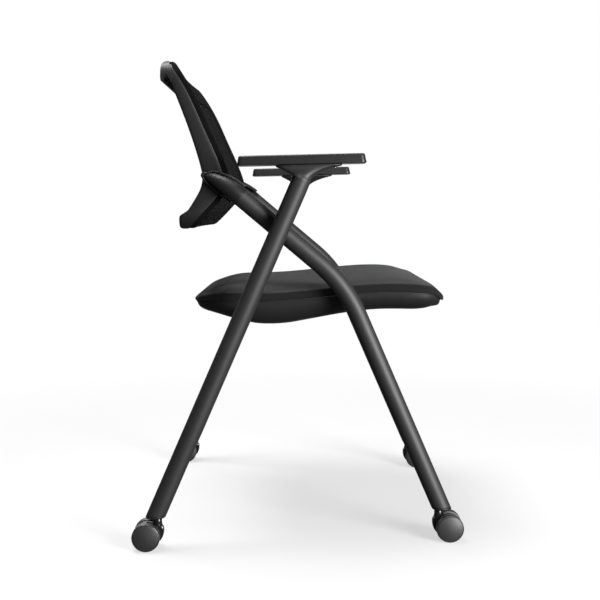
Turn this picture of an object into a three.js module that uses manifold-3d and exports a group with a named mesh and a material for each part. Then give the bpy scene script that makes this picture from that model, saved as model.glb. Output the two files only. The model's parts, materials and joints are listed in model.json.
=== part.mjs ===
// A nesting chair: two crossed pairs of steel legs on casters, a seat that
// flips up, a curved mesh back and short arm pads.
// Millimetres. +X is the front of the chair, +Y the sitter's left, +Z up.
// The origin is on the floor, under the middle of the chair.

import * as THREE from 'three';
import { mergeVertices } from 'three/addons/utils/BufferGeometryUtils.js';
import Module from 'manifold-3d';

const wasm = await Module();
wasm.setup();

// Shared values
const degrees = Math.PI / 180;
const fitGap = 0.3;
const overrun = 6;
const tubeSides = 20;
const smallSides = 12;
const sides = [['left', 1], ['right', -1]];

// Leg tubes
const tubeDiameter = 32;
const tubeWall = 2;
const legLean = 23.55;
const footHeight = 60.5;
const rearFootReach = 247.6;
const rearFootSpread = 48.3;
const rearTopSpread = 35.8;
const rearLegRise = 85.3;
const frontFootReach = 249.6;
const frontLegY = 250.5;
const bendHeight = 453.2;
const bendRadius = 250;
const bendSteps = 6;
const backTubeRise = 40.1;
const backTubeLength = 236;
const spacerRadius = 12;

// Leg end plugs and caster stems
const lipHeight = 5.2;
const plugDepth = 34;
const stemRadius = 5.5;
const stemLength = 22;
const stemDrop = 26;

// Casters
const wheelBase = 528.8;
const casterTrail = 18.5;
const wheelRadius = 24.2;
const wheelWidth = 18.6;
const wheelSpacing = 15;
const wheelSides = 24;
const wheelShoulder = 1.7;
const wheelDome = 3.4;
const wheelWeb = 4;
const hoodThickness = 13.4;
const hoodRadius = 23.2;
const hoodReach = 29.5;
const neckRadius = 7.5;
const neckHeight = 13;
const axleRadius = 3;

// Seat
const seatHalfDepth = 228;
const seatSideGap = 7;
const seatOutlinePower = 9;
const seatSteps = 40;
const seamHeight = 422.5;
const seamRise = 17;
const seamFrontDrop = 12;
const cushionShoulder = 17;
const cushionCrown = 16;
const cushionPullIn = 3.5;
const shellDepth = 47;
const shellWall = 2.5;
const shellInset = 2.5;
const panThickness = 9;
const panClearance = 0.8;

// Seat pivot and rest
const seatPivotDrop = 22;
const seatPivotShare = 0.5873;
const barRadius = 10;
const bushWall = 1.5;
const bushLength = 30;
const clampWall = 2.2;
const clampWidth = 24;
const clampReach = 28;
const clampSpread = 92;
const bumperWall = 2.7;
const bumperLength = 30;
const bumperSpread = 140;

// Back
const backSideGap = 0.8;
const backRearX = -241;
const backDepth = 111;
const backBottom = 550;
const backHeight = 293;
const backCornerRadius = 32;
const sideMemberWidth = 24;
const bottomRailHeight = 26;
const topRailHeight = 40;
const windowRadius = 22;
const carrierDepth = 10;
const carrierLip = 3;
const meshThickness = 1.4;
const meshInset = 3.5;
const backHollow = 20;
const backHollowSteps = 8;
const connectorRadius = 16.4;
const connectorLength = 73;
const connectorInsert = 42;
const rimWidth = 2.4;
const rimHeight = 9.5;
const backScrewRadius = 3;
const backScrewHead = 6;
const backScrewHeadHeight = 3.5;

// Arms
const armLength = 218;
const armWidth = 56;
const armThickness = 16.5;
const armLead = 0.7;
const armInset = 15.5;
const armRise = 26;
const armTilt = 1.3;
const armCorner = 9;
const armCornerSteps = 3;
const armEdgeDraft = 3;
const armPlateLength = 112;
const armPlateOffset = 12;
const armPlateHalfWidth = 20;
const armPlateThickness = 2.4;
const armScrewHead = 4.2;
const armScrewHeadHeight = 2.6;
const armScrewRadius = 2;
const armScrewLength = 12;
const armScrewCover = 2.6;
const armScrewInset = 13;

// Values that follow from the sizes above
const tubeRadius = tubeDiameter / 2;
const boreRadius = tubeRadius - tubeWall;
const plugRadius = boreRadius - fitGap;
const leanSlope = Math.tan(legLean * degrees);
const rearFootY = frontLegY + rearFootSpread;
const rearTopY = frontLegY + rearTopSpread;
const seatHalfWidth = frontLegY - tubeRadius - seatSideGap;
const backHalfWidth = frontLegY - tubeRadius - backSideGap;
const lipTop = footHeight - fitGap;
const lipBottom = lipTop - lipHeight;
const stemX = wheelBase / 2 - casterTrail;
const bendX = frontFootReach - (bendHeight - footHeight) * leanSlope;
const backTubeSlope = 1 / Math.tan(backTubeRise * degrees);
const crossingHeight = (bendX + rearFootReach + bendHeight * backTubeSlope + footHeight * leanSlope)
  / (leanSlope + backTubeSlope);
const rearLegTop = crossingHeight + rearLegRise;
const splaySlope = (rearFootY - rearTopY) / (rearLegTop - footHeight);
const armMiddleX = (rearLegTop - footHeight) * leanSlope - rearFootReach + armLead;
const armMiddleY = rearTopY - armInset;
const armBottom = rearLegTop + armRise;
const pivotHeight = seamHeight - seatPivotDrop;
const pivotX = (pivotHeight - footHeight) * leanSlope - rearFootReach;
const seatMiddleX = pivotX + seatHalfDepth * seatPivotShare;
const upTube = new THREE.Vector3(
  -Math.cos(backTubeRise * degrees), 0, Math.sin(backTubeRise * degrees));
const acrossTube = new THREE.Vector3(
  Math.sin(backTubeRise * degrees), 0, Math.cos(backTubeRise * degrees));

// Finishes
const finishes = {
  steel: { color: 0x2b2b2c, roughness: 0.45, metalness: 0.35 },
  zinc: { color: 0x8a8a88, roughness: 0.4, metalness: 0.9 },
  plastic: { color: 0x242425, roughness: 0.6, metalness: 0 },
  glossPlastic: { color: 0x101011, roughness: 0.15, metalness: 0 },
  armPad: { color: 0x1f1f20, roughness: 0.55, metalness: 0 },
  wheel: { color: 0x303030, roughness: 0.5, metalness: 0 },
  rubber: { color: 0x191919, roughness: 0.85, metalness: 0 },
  mesh: { color: 0x141414, roughness: 0.9, metalness: 0 },
  fabric: { color: 0x2c2c2d, roughness: 0.95, metalness: 0 },
  board: { color: 0x9c7a4f, roughness: 0.8, metalness: 0 },
};

const chair = new THREE.Group();

// Adds a named piece with its finish.
function addPiece(name, geometry, finish) {
  const material = new THREE.MeshStandardMaterial(finishes[finish]);
  const piece = new THREE.Mesh(geometry, material);
  piece.name = name;
  chair.add(piece);
  return piece;
}

// Turns a closed geometry into a solid for cutting and joining.
function toSolid(geometry) {
  const bare = geometry.clone();
  bare.deleteAttribute('normal');
  bare.deleteAttribute('uv');
  const merged = mergeVertices(bare);
  return new wasm.Manifold(new wasm.Mesh({
    numProp: 3,
    vertProperties: new Float32Array(merged.attributes.position.array),
    triVerts: new Uint32Array(merged.index.array),
  }));
}

// Turns a solid back into a geometry.
function toGeometry(solid) {
  const mesh = solid.getMesh();
  const geometry = new THREE.BufferGeometry();
  geometry.setAttribute('position', new THREE.BufferAttribute(mesh.vertProperties, 3));
  geometry.setIndex(new THREE.BufferAttribute(mesh.triVerts, 1));
  return geometry;
}

// A point of the chair.
function at(x, y, z) {
  return new THREE.Vector3(x, y, z);
}

// A round rod from one point to another.
function rod(start, end, radius, count = tubeSides) {
  const axis = end.clone().sub(start);
  const geometry = new THREE.CylinderGeometry(radius, radius, axis.length(), count);
  const turn = new THREE.Quaternion();
  turn.setFromUnitVectors(at(0, 1, 0), axis.clone().normalize());
  geometry.applyQuaternion(turn);
  const middle = start.clone().add(end).multiplyScalar(0.5);
  geometry.translate(middle.x, middle.y, middle.z);
  return geometry;
}

// A box between two corners.
function block(low, high) {
  const size = high.clone().sub(low);
  const middle = low.clone().add(high).multiplyScalar(0.5);
  const geometry = new THREE.BoxGeometry(size.x, size.y, size.z);
  geometry.translate(middle.x, middle.y, middle.z);
  return geometry;
}

// An outline in X and Z, pulled across the chair between two Y values.
function acrossChair(shape, lowY, highY, curveSegments = 6) {
  const depth = highY - lowY;
  const geometry = new THREE.ExtrudeGeometry(shape, { depth, bevelEnabled: false, curveSegments });
  geometry.rotateX(90 * degrees);
  geometry.translate(0, highY, 0);
  return geometry;
}

// An outline in Y and Z, pulled along the chair between two X values.
function alongChair(shape, lowX, highX, curveSegments = 6) {
  const depth = highX - lowX;
  const geometry = new THREE.ExtrudeGeometry(shape, { depth, bevelEnabled: false, curveSegments });
  geometry.applyMatrix4(new THREE.Matrix4().makeBasis(at(0, 1, 0), at(0, 0, 1), at(1, 0, 0)));
  geometry.translate(lowX, 0, 0);
  return geometry;
}

// A rectangle with round corners.
function roundRectangle(left, bottom, right, top, radius) {
  const shape = new THREE.Shape();
  const quarter = 90 * degrees;
  shape.absarc(right - radius, bottom + radius, radius, -quarter, 0);
  shape.absarc(right - radius, top - radius, radius, 0, quarter);
  shape.absarc(left + radius, top - radius, radius, quarter, 2 * quarter);
  shape.absarc(left + radius, bottom + radius, radius, 2 * quarter, 3 * quarter);
  shape.closePath();
  return shape;
}

// A closed skin over a stack of rings that all have the same number of points.
function skinRings(rings) {
  const count = rings[0].length;
  const points = rings.flat();
  const faces = [];
  for (let r = 0; r + 1 < rings.length; r += 1) {
    for (let i = 0; i < count; i += 1) {
      const next = (i + 1) % count;
      const a = r * count + i;
      const b = r * count + next;
      faces.push(a, b, b + count, a, b + count, a + count);
    }
  }
  const ends = [[0, 1], [rings.length - 1, -1]];
  for (const [ring, turn] of ends) {
    const centre = points.length;
    const middle = at(0, 0, 0);
    rings[ring].forEach((point) => middle.add(point));
    points.push(middle.divideScalar(count));
    for (let i = 0; i < count; i += 1) {
      const a = ring * count + i;
      const b = ring * count + (i + 1) % count;
      faces.push(...(turn > 0 ? [centre, b, a] : [centre, a, b]));
    }
  }
  const geometry = new THREE.BufferGeometry();
  geometry.setFromPoints(points);
  geometry.setIndex(faces);
  return geometry;
}

// Reads a smooth value from a table of [place, value] rows in rising order.
function readTable(rows, place) {
  const last = rows.length - 1;
  if (place <= rows[0][0]) return rows[0][1];
  if (place >= rows[last][0]) return rows[last][1];
  const row = rows.findIndex((entry) => entry[0] > place);
  const [lowPlace, lowValue] = rows[row - 1];
  const [highPlace, highValue] = rows[row];
  const part = (place - lowPlace) / (highPlace - lowPlace);
  return lowValue + (highValue - lowValue) * part;
}

// The middle line of a rear leg at a height.
function rearLegAt(height, side) {
  const rise = height - footHeight;
  return at(-rearFootReach + rise * leanSlope, side * (rearFootY - rise * splaySlope), height);
}

// The middle line of a front leg at a height below its bend.
function frontLegAt(height, side) {
  return at(frontFootReach - (height - footHeight) * leanSlope, side * frontLegY, height);
}

// The middle line of the back tube, measured up from the bend's corner.
function backTubeAt(distance, side) {
  return at(bendX, side * frontLegY, bendHeight).addScaledVector(upTube, distance);
}

// A path with its stations at chosen points, each with its own direction.
class StationPath extends THREE.Curve {
  constructor(points, directions) {
    super();
    this.points = points;
    this.directions = directions;
  }

  stationAt(share) {
    return Math.round(share * (this.points.length - 1));
  }

  getPointAt(share) {
    return this.points[this.stationAt(share)].clone();
  }

  getTangentAt(share) {
    return this.directions[this.stationAt(share)].clone();
  }
}

// The path of a front leg from its top end, round the bend and down past its foot.
function frontLegPath(side) {
  const down = upTube.clone().negate();
  const turn = (90 - legLean - backTubeRise) * degrees;
  const tangent = bendRadius * Math.tan(turn / 2);
  const points = [backTubeAt(backTubeLength, side)];
  const directions = [down];
  const start = backTubeAt(tangent, side);
  const centre = start.clone().addScaledVector(acrossTube, -bendRadius);
  for (let i = 0; i <= bendSteps; i += 1) {
    const angle = (90 - backTubeRise) * degrees - turn * i / bendSteps;
    const outward = at(Math.cos(angle), 0, Math.sin(angle));
    points.push(centre.clone().addScaledVector(outward, bendRadius));
    directions.push(at(Math.sin(angle), 0, -Math.cos(angle)));
  }
  points.push(frontLegAt(footHeight - tubeDiameter, side));
  directions.push(directions[directions.length - 1].clone());
  return new StationPath(points, directions);
}

// A round bar or, with a bore, a tube along a front leg's path.
function frontLegBar(side, radius, bore = 0) {
  const path = frontLegPath(side);
  const section = new THREE.Shape().absarc(0, 0, radius, 0, 360 * degrees);
  if (bore > 0) {
    section.holes.push(new THREE.Path().absarc(0, 0, bore, 0, 360 * degrees, true));
  }
  return toSolid(new THREE.ExtrudeGeometry(section, {
    steps: path.points.length - 1,
    extrudePath: path,
    curveSegments: tubeSides / 2,
    bevelEnabled: false,
  }));
}

// A solid bar along a rear leg.
function rearLegBar(side, radius, top = rearLegTop) {
  const foot = rearLegAt(footHeight - tubeDiameter, side);
  return toSolid(rod(foot, rearLegAt(top, side), radius));
}

// Everything below a height, around a foot.
function below(height, foot) {
  const reach = 2 * tubeDiameter;
  return toSolid(block(
    at(foot.x - reach, foot.y - reach, height - 2 * reach),
    at(foot.x + reach, foot.y + reach, height)));
}

// A front leg: one tube from the foot, round the bend, up to the back.
function frontLeg(side) {
  const tube = frontLegBar(side, tubeRadius, boreRadius);
  return toGeometry(tube.subtract(below(footHeight, frontLegAt(footHeight, side))));
}

// A rear leg: one straight tube from the foot up to the arm.
function rearLeg(side) {
  const bore = rearLegBar(side, boreRadius, rearLegTop + overrun);
  const tube = rearLegBar(side, tubeRadius).subtract(bore);
  return toGeometry(tube.subtract(below(footHeight, rearLegAt(footHeight, side))));
}

// The saddle between the two tubes of one side, where they cross.
function legSpacer(side) {
  const rear = rearLegAt(crossingHeight, side);
  const bar = toSolid(rod(at(rear.x, side * frontLegY, crossingHeight), rear, spacerRadius));
  const front = frontLegBar(side, tubeRadius + fitGap);
  return toGeometry(bar.subtract(front).subtract(rearLegBar(side, tubeRadius + fitGap)));
}

// The plug in the foot of a leg, with its lip and the socket for the caster's stem.
function legPlug(legAt) {
  const low = legAt(lipBottom - tubeDiameter);
  const foot = legAt(footHeight);
  const lipRod = toSolid(rod(low, legAt(footHeight + tubeDiameter), tubeRadius));
  const lip = lipRod.intersect(toSolid(block(
    at(foot.x - 2 * tubeDiameter, foot.y - 2 * tubeDiameter, lipBottom),
    at(foot.x + 2 * tubeDiameter, foot.y + 2 * tubeDiameter, lipTop))));
  const core = toSolid(rod(low, legAt(footHeight + plugDepth), plugRadius));
  const x = Math.sign(foot.x) * stemX;
  const socket = toSolid(rod(
    at(x, foot.y, lipBottom - overrun), at(x, foot.y, lipBottom + stemLength + fitGap),
    stemRadius + fitGap, smallSides));
  return toGeometry(lip.add(core.subtract(below(lipBottom, foot))).subtract(socket));
}

// The steel pin that a caster turns on.
function casterStem(x, y) {
  return rod(at(x, y, lipBottom - stemDrop), at(x, y, lipBottom + stemLength), stemRadius, smallSides);
}

// The side view of a caster's hood: heights and reaches as shares of its radius.
const hoodShares = { noseTop: 0.9, nose: 0.42, chin: -0.4, chinReach: 0.6, floor: -0.66, floorReach: -0.35 };
const hoodRearAngle = 205 * degrees;
const hoodTopAngle = 50 * degrees;

// The side view of a caster's hood, round its axle, with its nose towards the stem.
function hoodOutline() {
  const shape = new THREE.Shape();
  shape.absarc(0, 0, hoodRadius, hoodRearAngle, hoodTopAngle, true);
  shape.quadraticCurveTo(
    hoodReach, hoodRadius * hoodShares.noseTop, hoodReach, hoodRadius * hoodShares.nose);
  shape.quadraticCurveTo(
    hoodReach, hoodRadius * hoodShares.chin,
    hoodRadius * hoodShares.chinReach, hoodRadius * hoodShares.floor);
  shape.lineTo(hoodRadius * hoodShares.floorReach, hoodRadius * hoodShares.floor);
  shape.closePath();
  return shape;
}

// The hood between a caster's wheels, with its neck. Toward is the way to the stem.
function casterHood(x, y, toward) {
  const axle = at(x - toward * casterTrail, y, wheelRadius);
  const half = hoodThickness / 2;
  const web = acrossChair(hoodOutline(), -half, half, smallSides / 2);
  if (toward < 0) web.rotateZ(180 * degrees);
  web.translate(axle.x, axle.y, axle.z);
  const neckTop = lipBottom - fitGap;
  const neck = toSolid(rod(at(x, y, neckTop - neckHeight), at(x, y, neckTop), neckRadius, tubeSides));
  const socket = toSolid(rod(
    at(x, y, lipBottom - stemDrop - fitGap), at(x, y, lipBottom + overrun),
    stemRadius + fitGap, smallSides));
  const hole = toSolid(rod(
    at(axle.x, y - wheelWidth, wheelRadius), at(axle.x, y + wheelWidth, wheelRadius),
    axleRadius + fitGap, smallSides));
  return toGeometry(toSolid(web).add(neck).subtract(socket).subtract(hole));
}

// The pin through a caster's hood that carries both wheels.
function casterAxle(axle) {
  const reach = wheelSpacing / 2 + wheelWidth - wheelWeb - wheelDome - fitGap;
  return rod(at(axle.x, axle.y - reach, axle.z), at(axle.x, axle.y + reach, axle.z),
    axleRadius, smallSides);
}

// How a wheel's outer face bulges: shares of its radius and of its dome.
const wheelDomeShares = [[0.93, 0.4], [0.72, 0.72], [0.38, 0.94]];

// One wheel, with a flat of its tread on the floor. Outward is +1 on the +Y side of its
// caster and -1 on the other.
function casterWheel(axle, outward) {
  const inner = wheelSpacing / 2;
  const rim = inner + wheelWidth - wheelDome;
  const halfSide = 180 * degrees / wheelSides;
  const tread = wheelRadius / Math.cos(halfSide);
  const profile = [
    [0, rim - wheelWeb],
    [axleRadius + fitGap, rim - wheelWeb],
    [axleRadius + fitGap, inner],
    [tread - wheelShoulder, inner],
    [tread, inner + wheelShoulder],
    [tread, rim],
    ...wheelDomeShares.map(([radius, rise]) => [tread * radius, rim + wheelDome * rise]),
    [0, rim + wheelDome],
  ].map(([radius, along]) => new THREE.Vector2(radius, along));
  const geometry = new THREE.LatheGeometry(profile, wheelSides, halfSide);
  if (outward < 0) geometry.rotateX(180 * degrees);
  geometry.translate(axle.x, axle.y, axle.z);
  return geometry;
}

// One caster: its stem, hood, axle and two wheels.
function addCaster(name, x, y) {
  const toward = -Math.sign(x);
  const axle = at(x - toward * casterTrail, y, wheelRadius);
  addPiece(`${name}_caster_stem`, casterStem(x, y), 'zinc');
  addPiece(`${name}_caster_hood`, casterHood(x, y, toward), 'glossPlastic');
  addPiece(`${name}_caster_axle`, casterAxle(axle), 'zinc');
  const outward = Math.sign(y);
  addPiece(`${name}_outer_wheel`, casterWheel(axle, outward), 'wheel');
  addPiece(`${name}_inner_wheel`, casterWheel(axle, -outward), 'wheel');
}

// The seat's plan is a square with round corners, where its points stand closer together.
const cornerCrowdingShare = 0.12;

// The direction of a point of the plan, as shares of the seat's half depth and half width.
function seatDirection(turn) {
  const angle = turn + cornerCrowdingShare * Math.sin(4 * turn);
  const [x, y] = [Math.cos(angle), Math.sin(angle)];
  const sum = Math.abs(x) ** seatOutlinePower + Math.abs(y) ** seatOutlinePower;
  const reach = sum ** (-1 / seatOutlinePower);
  return { x: x * reach, y: y * reach };
}

// The seat's plan outline: a point in a direction, at a share of the full size.
function seatPoint(turn, share, inset = 0) {
  const direction = seatDirection(turn);
  return {
    x: seatMiddleX + share * (seatHalfDepth - inset) * direction.x,
    y: share * (seatHalfWidth - inset) * direction.y,
  };
}

// Where the seam rises and drops, as shares of the seat's half depth.
const seamRiseShares = [-0.5, 0.55];
const seamDropShares = [0.6, 1.3];

// The height of the seam between the cushion and the shell.
function seamAt(x) {
  const place = (x - seatMiddleX) / seatHalfDepth;
  const rise = THREE.MathUtils.smoothstep(place, ...seamRiseShares);
  const drop = THREE.MathUtils.smoothstep(place, ...seamDropShares);
  return seamHeight + seamRise * rise - seamFrontDrop * drop;
}

// A value that changes from one at the seat's front and rear edges to another at its sides.
function alongEdge(turn, atEnds, atSides) {
  const side = Math.abs(seatDirection(turn).y) ** seatOutlinePower;
  return THREE.MathUtils.lerp(atEnds, atSides, side);
}

// A ring of the seat at a share of its outline, with a height above the seam.
function seatRing(share, inset, heightAt) {
  const ring = [];
  for (let i = 0; i < seatSteps; i += 1) {
    const turn = 360 * degrees * i / seatSteps;
    const point = seatPoint(turn, share, inset);
    ring.push(at(point.x, point.y, seamAt(point.x) + heightAt(turn, point.x)));
  }
  return ring;
}

// The rings of the seat that the board and the cushion's underside share.
const panShares = [0.35, 0.65, 0.9];

// The rings of the cushion's top, from its edge in, and the part of its shoulder that is upright.
const cushionShares = [1, 0.985, 0.96, 0.92, 0.86, 0.76, 0.6, 0.4, 0.18];
const cushionWallShares = { ends: 0.12, sides: 0.9 };
const cushionEdgePowers = { ends: 3, sides: 12 };

// The padded cushion, with its crown and with its wall drawn in at the seam.
function seatCushion() {
  const half = fitGap / 2;
  const wallShare = (turn) => alongEdge(turn, cushionWallShares.ends, cushionWallShares.sides);
  const top = (share) => (turn) => {
    const power = alongEdge(turn, cushionEdgePowers.ends, cushionEdgePowers.sides);
    const shoulder = THREE.MathUtils.lerp(Math.sqrt(1 - share ** power), 1, wallShare(turn));
    return half + cushionShoulder * shoulder + cushionCrown * (1 - share ** 2);
  };
  const lowWall = (turn) => half + cushionShoulder * wallShare(turn) / 2;
  const rings = panShares.map((share) => seatRing(share, cushionPullIn, () => half));
  rings.push(seatRing(1, cushionPullIn, () => half));
  rings.push(seatRing(1, cushionPullIn / 3, lowWall));
  cushionShares.forEach((share) => rings.push(seatRing(share, 0, top(share))));
  return skinRings(rings);
}

// How deep the shell hangs below the seam, as a share of its full depth.
const shellDepthShares = [
  [-1, 0.54], [-0.85, 0.59], [-0.73, 0.7], [-0.6, 0.86], [-0.48, 0.97], [-0.27, 1], [-0.1, 0.93],
  [0.2, 0.81], [0.5, 0.75], [0.8, 0.785], [1, 0.83],
];
const shellEdgePowers = { ends: 7, sides: 12 };

// The shell's hang at a place, as a height below the seam.
function shellHang(turn, share, x) {
  const place = (x - seatMiddleX) / seatHalfDepth;
  const power = alongEdge(turn, shellEdgePowers.ends, shellEdgePowers.sides);
  return shellDepth * readTable(shellDepthShares, place) * Math.sqrt(1 - share ** power);
}

// The rings of the shell's outer face, from its middle out, and of its inner face, back in.
const shellOuterShares = [0.2, 0.45, 0.65, 0.8, 0.9, 0.96, 0.99, 1];
const shellInnerShares = [0.98, 0.93, 0.84, 0.6, 0.3];

// The moulded cover under the seat, open at the top and at the pivot bar.
function seatShell() {
  const rim = -fitGap / 2;
  const outer = (share) => (turn, x) => rim - shellHang(turn, share, x);
  const inner = (share) => (turn, x) => Math.min(rim, rim + shellWall - shellHang(turn, share, x));
  const rings = shellOuterShares.map((share) => seatRing(share, shellInset, outer(share)));
  rings.push(seatRing(1, shellInset + shellWall, () => rim));
  shellInnerShares.forEach((share) => {
    rings.push(seatRing(share, shellInset + shellWall, inner(share)));
  });
  const shell = toSolid(skinRings(rings));
  const pivot = seatPivot();
  const opening = toSolid(rod(
    at(pivot.x, -2 * seatHalfWidth, pivot.z), at(pivot.x, 2 * seatHalfWidth, pivot.z),
    barRadius + 4 * fitGap));
  return toGeometry(shell.subtract(opening));
}

// The board that the cushion is built on.
function seatPan() {
  const top = -panClearance;
  const rings = panShares.map((share) => seatRing(share, cushionPullIn, () => top - panThickness));
  [...panShares].reverse().forEach((share) => {
    rings.push(seatRing(share, cushionPullIn, () => top));
  });
  return skinRings(rings);
}

// The middle of the pivot bar: on the line of the rear legs, below the seat's seam.
function seatPivot() {
  return at(pivotX, 0, pivotHeight);
}

// The bar across the rear legs that the seat turns on.
function pivotBar() {
  const pivot = seatPivot();
  const reach = rearLegAt(pivot.z, 1).y;
  const bar = toSolid(rod(at(pivot.x, -reach, pivot.z), at(pivot.x, reach, pivot.z), barRadius));
  const legs = rearLegBar(1, tubeRadius + fitGap).add(rearLegBar(-1, tubeRadius + fitGap));
  return toGeometry(bar.subtract(legs));
}

// How far the front bar's middle lies below the shell, with its rubber rings between them.
const bumperRadius = barRadius + fitGap + bumperWall;
const bumperDrop = bumperRadius + fitGap * 1.4;
const frontBarSteps = 12;

// The middle of the front bar: on the line of the front legs, where its rings touch the shell.
function frontBarMiddle() {
  const middle = frontLegAt(pivotHeight, 0);
  for (let i = 0; i < frontBarSteps; i += 1) {
    const shellBottom = seamAt(middle.x) - fitGap / 2 - shellHang(0, 0, middle.x);
    middle.copy(frontLegAt(shellBottom - bumperDrop, 0));
  }
  return middle;
}

// The bar across the front legs that the seat rests on.
function frontBar() {
  const middle = frontBarMiddle();
  const bar = toSolid(rod(
    at(middle.x, -frontLegY, middle.z), at(middle.x, frontLegY, middle.z), barRadius));
  const legs = frontLegBar(1, tubeRadius + fitGap).add(frontLegBar(-1, tubeRadius + fitGap));
  return toGeometry(bar.subtract(legs));
}

// A sleeve round a bar that runs across the chair.
function barSleeve(middle, y, length, bore, radius) {
  const low = y - length / 2;
  const high = y + length / 2;
  const body = toSolid(rod(at(middle.x, low, middle.z), at(middle.x, high, middle.z), radius));
  const hole = toSolid(rod(
    at(middle.x, low - overrun, middle.z), at(middle.x, high + overrun, middle.z), bore));
  return body.subtract(hole);
}

// A rubber ring on the front bar, under the seat's shell.
function seatBumper(side) {
  const y = side * bumperSpread;
  return toGeometry(barSleeve(frontBarMiddle(), y, bumperLength, barRadius + fitGap, bumperRadius));
}

// The plastic bush that turns on the pivot bar.
function pivotBush(side) {
  const bore = barRadius + fitGap;
  return toGeometry(barSleeve(seatPivot(), side * clampSpread, bushLength, bore, bore + bushWall));
}

// The steel saddle that hangs the seat's board on a bush.
function pivotClamp(side) {
  const pivot = seatPivot();
  const y = side * clampSpread;
  const bore = barRadius + 2 * fitGap + bushWall;
  const outer = bore + clampWall;
  const flangeTop = seamAt(pivot.x - clampReach) - panClearance - panThickness - fitGap;
  const half = clampWidth / 2;
  const saddle = barSleeve(pivot, y, clampWidth, bore, outer);
  const flange = toSolid(block(
    at(pivot.x - clampReach, y - half, flangeTop - clampWall),
    at(pivot.x + clampReach, y + half, flangeTop)));
  const walls = toSolid(block(
    at(pivot.x - outer, y - half, pivot.z), at(pivot.x + outer, y + half, flangeTop)));
  const throat = toSolid(block(
    at(pivot.x - bore, y - clampWidth, pivot.z), at(pivot.x + bore, y + clampWidth, pivot.z + outer * 2)));
  const crown = toSolid(block(
    at(pivot.x - outer * 2, y - clampWidth, flangeTop),
    at(pivot.x + outer * 2, y + clampWidth, flangeTop + outer * 2)));
  return toGeometry(saddle.add(walls).add(flange).subtract(throat).subtract(crown));
}

// The side view of the back: shares of its depth from the rear and of its height.
const faceShares = [
  [0.423, -0.01], [0.423, 0], [0.66, 0.101], [0.84, 0.175], [0.93, 0.222], [0.982, 0.262],
  [0.982, 0.302], [0.955, 0.35], [0.868, 0.439], [0.673, 0.603], [0.42, 0.811], [0.122, 1],
  [0.122, 1.01],
];
const rearShares = [
  [0.36, 0], [0.252, 0.004], [0.27, 0.08], [0.364, 0.09], [0.419, 0.111], [0.53, 0.186],
  [0.606, 0.24], [0.636, 0.29], [0.628, 0.34], [0.549, 0.454], [0.414, 0.61], [0.213, 0.811],
  [0.15, 0.87], [0.115, 0.915], [0.06, 0.905], [0.045, 0.872], [0.005, 0.875], [0, 0.96],
  [0.04, 0.988], [0.09, 1],
];
const topHollowShare = 0.4;

// How far forward the front of the back's frame stands at a height.
function faceAt(height) {
  const place = (height - backBottom) / backHeight;
  return backRearX + backDepth * readTable(faceShares.map(([x, z]) => [z, x]), place);
}

// How far the back is hollowed at a height, in the middle of its width.
function hollowAt(height) {
  const place = THREE.MathUtils.clamp((height - backBottom) / backHeight, 0, 1);
  return backHollow * (topHollowShare + (1 - topHollowShare) * Math.sin(180 * degrees * place));
}

// A point of the back's hollowed face, moved forward by a distance.
function facePoint(y, height, forward) {
  const across = y / backHalfWidth;
  return at(faceAt(height) + forward - hollowAt(height) * (1 - across ** 2), y, height);
}

// A sheet that follows the back's hollowed face, between two distances in front of it.
function faceSheet(behind, front, extra) {
  const heights = faceShares.map(([, z]) => backBottom + backHeight * z);
  const wide = backHalfWidth + extra;
  const rings = [];
  for (let i = 0; i <= backHollowSteps; i += 1) {
    const y = wide - 2 * wide * i / backHollowSteps;
    const ring = heights.map((height) => facePoint(y, height, front));
    [...heights].reverse().forEach((height) => ring.push(facePoint(y, height, behind)));
    rings.push(ring);
  }
  return toSolid(skinStrip(rings));
}

// A closed skin over rings that each go out along one face and back along the other.
function skinStrip(rings) {
  const geometry = skinRings(rings);
  const count = rings[0].length;
  const half = count / 2;
  const faces = Array.from(geometry.index.array).slice(0, (rings.length - 1) * count * 6);
  [[0, 1], [(rings.length - 1) * count, -1]].forEach(([first, turn]) => {
    for (let i = 0; i + 1 < half; i += 1) {
      const a = first + i;
      const b = first + i + 1;
      const c = first + count - 2 - i;
      const d = first + count - 1 - i;
      faces.push(...(turn > 0 ? [a, c, b, a, d, c] : [a, b, c, a, c, d]));
    }
  });
  const points = geometry.attributes.position.array.slice(0, rings.length * count * 3);
  const closed = new THREE.BufferGeometry();
  closed.setAttribute('position', new THREE.BufferAttribute(points, 3));
  closed.setIndex(faces);
  return closed;
}

// The rounded outline of the back seen from the front, as a bar along the chair.
function backOutline(inset) {
  const edge = backHalfWidth - inset;
  const shape = roundRectangle(
    -edge, backBottom + inset, edge, backBottom + backHeight - inset, backCornerRadius - inset);
  return toSolid(alongChair(shape, backRearX - backDepth, backRearX + 2 * backDepth));
}

// The window through the back's frame, made smaller by an inset.
function backWindow(inset) {
  const edge = backHalfWidth - sideMemberWidth - inset;
  const low = backBottom + bottomRailHeight + inset;
  const high = backBottom + backHeight - topRailHeight - inset;
  const shape = roundRectangle(-edge, low, edge, high, windowRadius);
  return toSolid(alongChair(shape, backRearX - backDepth, backRearX + 2 * backDepth, 4));
}

// The side view of the back's frame, from its front line round its rear.
function backSideView() {
  const shape = new THREE.Shape();
  const front = faceShares.slice(1, -1);
  const rear = [...rearShares].reverse();
  const place = ([x, z]) => [backRearX + backDepth * x, backBottom + backHeight * z];
  shape.moveTo(...place(front[0]));
  front.slice(1).forEach((share) => shape.lineTo(...place(share)));
  rear.forEach((share) => shape.lineTo(...place(share)));
  shape.closePath();
  return shape;
}

// How a back tube's end piece tapers: shares of its length and of its radius.
const connectorShares = [
  [0, 1], [0.2, 0.98], [0.42, 0.9], [0.62, 0.77], [0.8, 0.6], [0.93, 0.4], [1, 0.2],
];
const connectorDropShare = 0.9;
const backScrewShare = 0.78;

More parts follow.
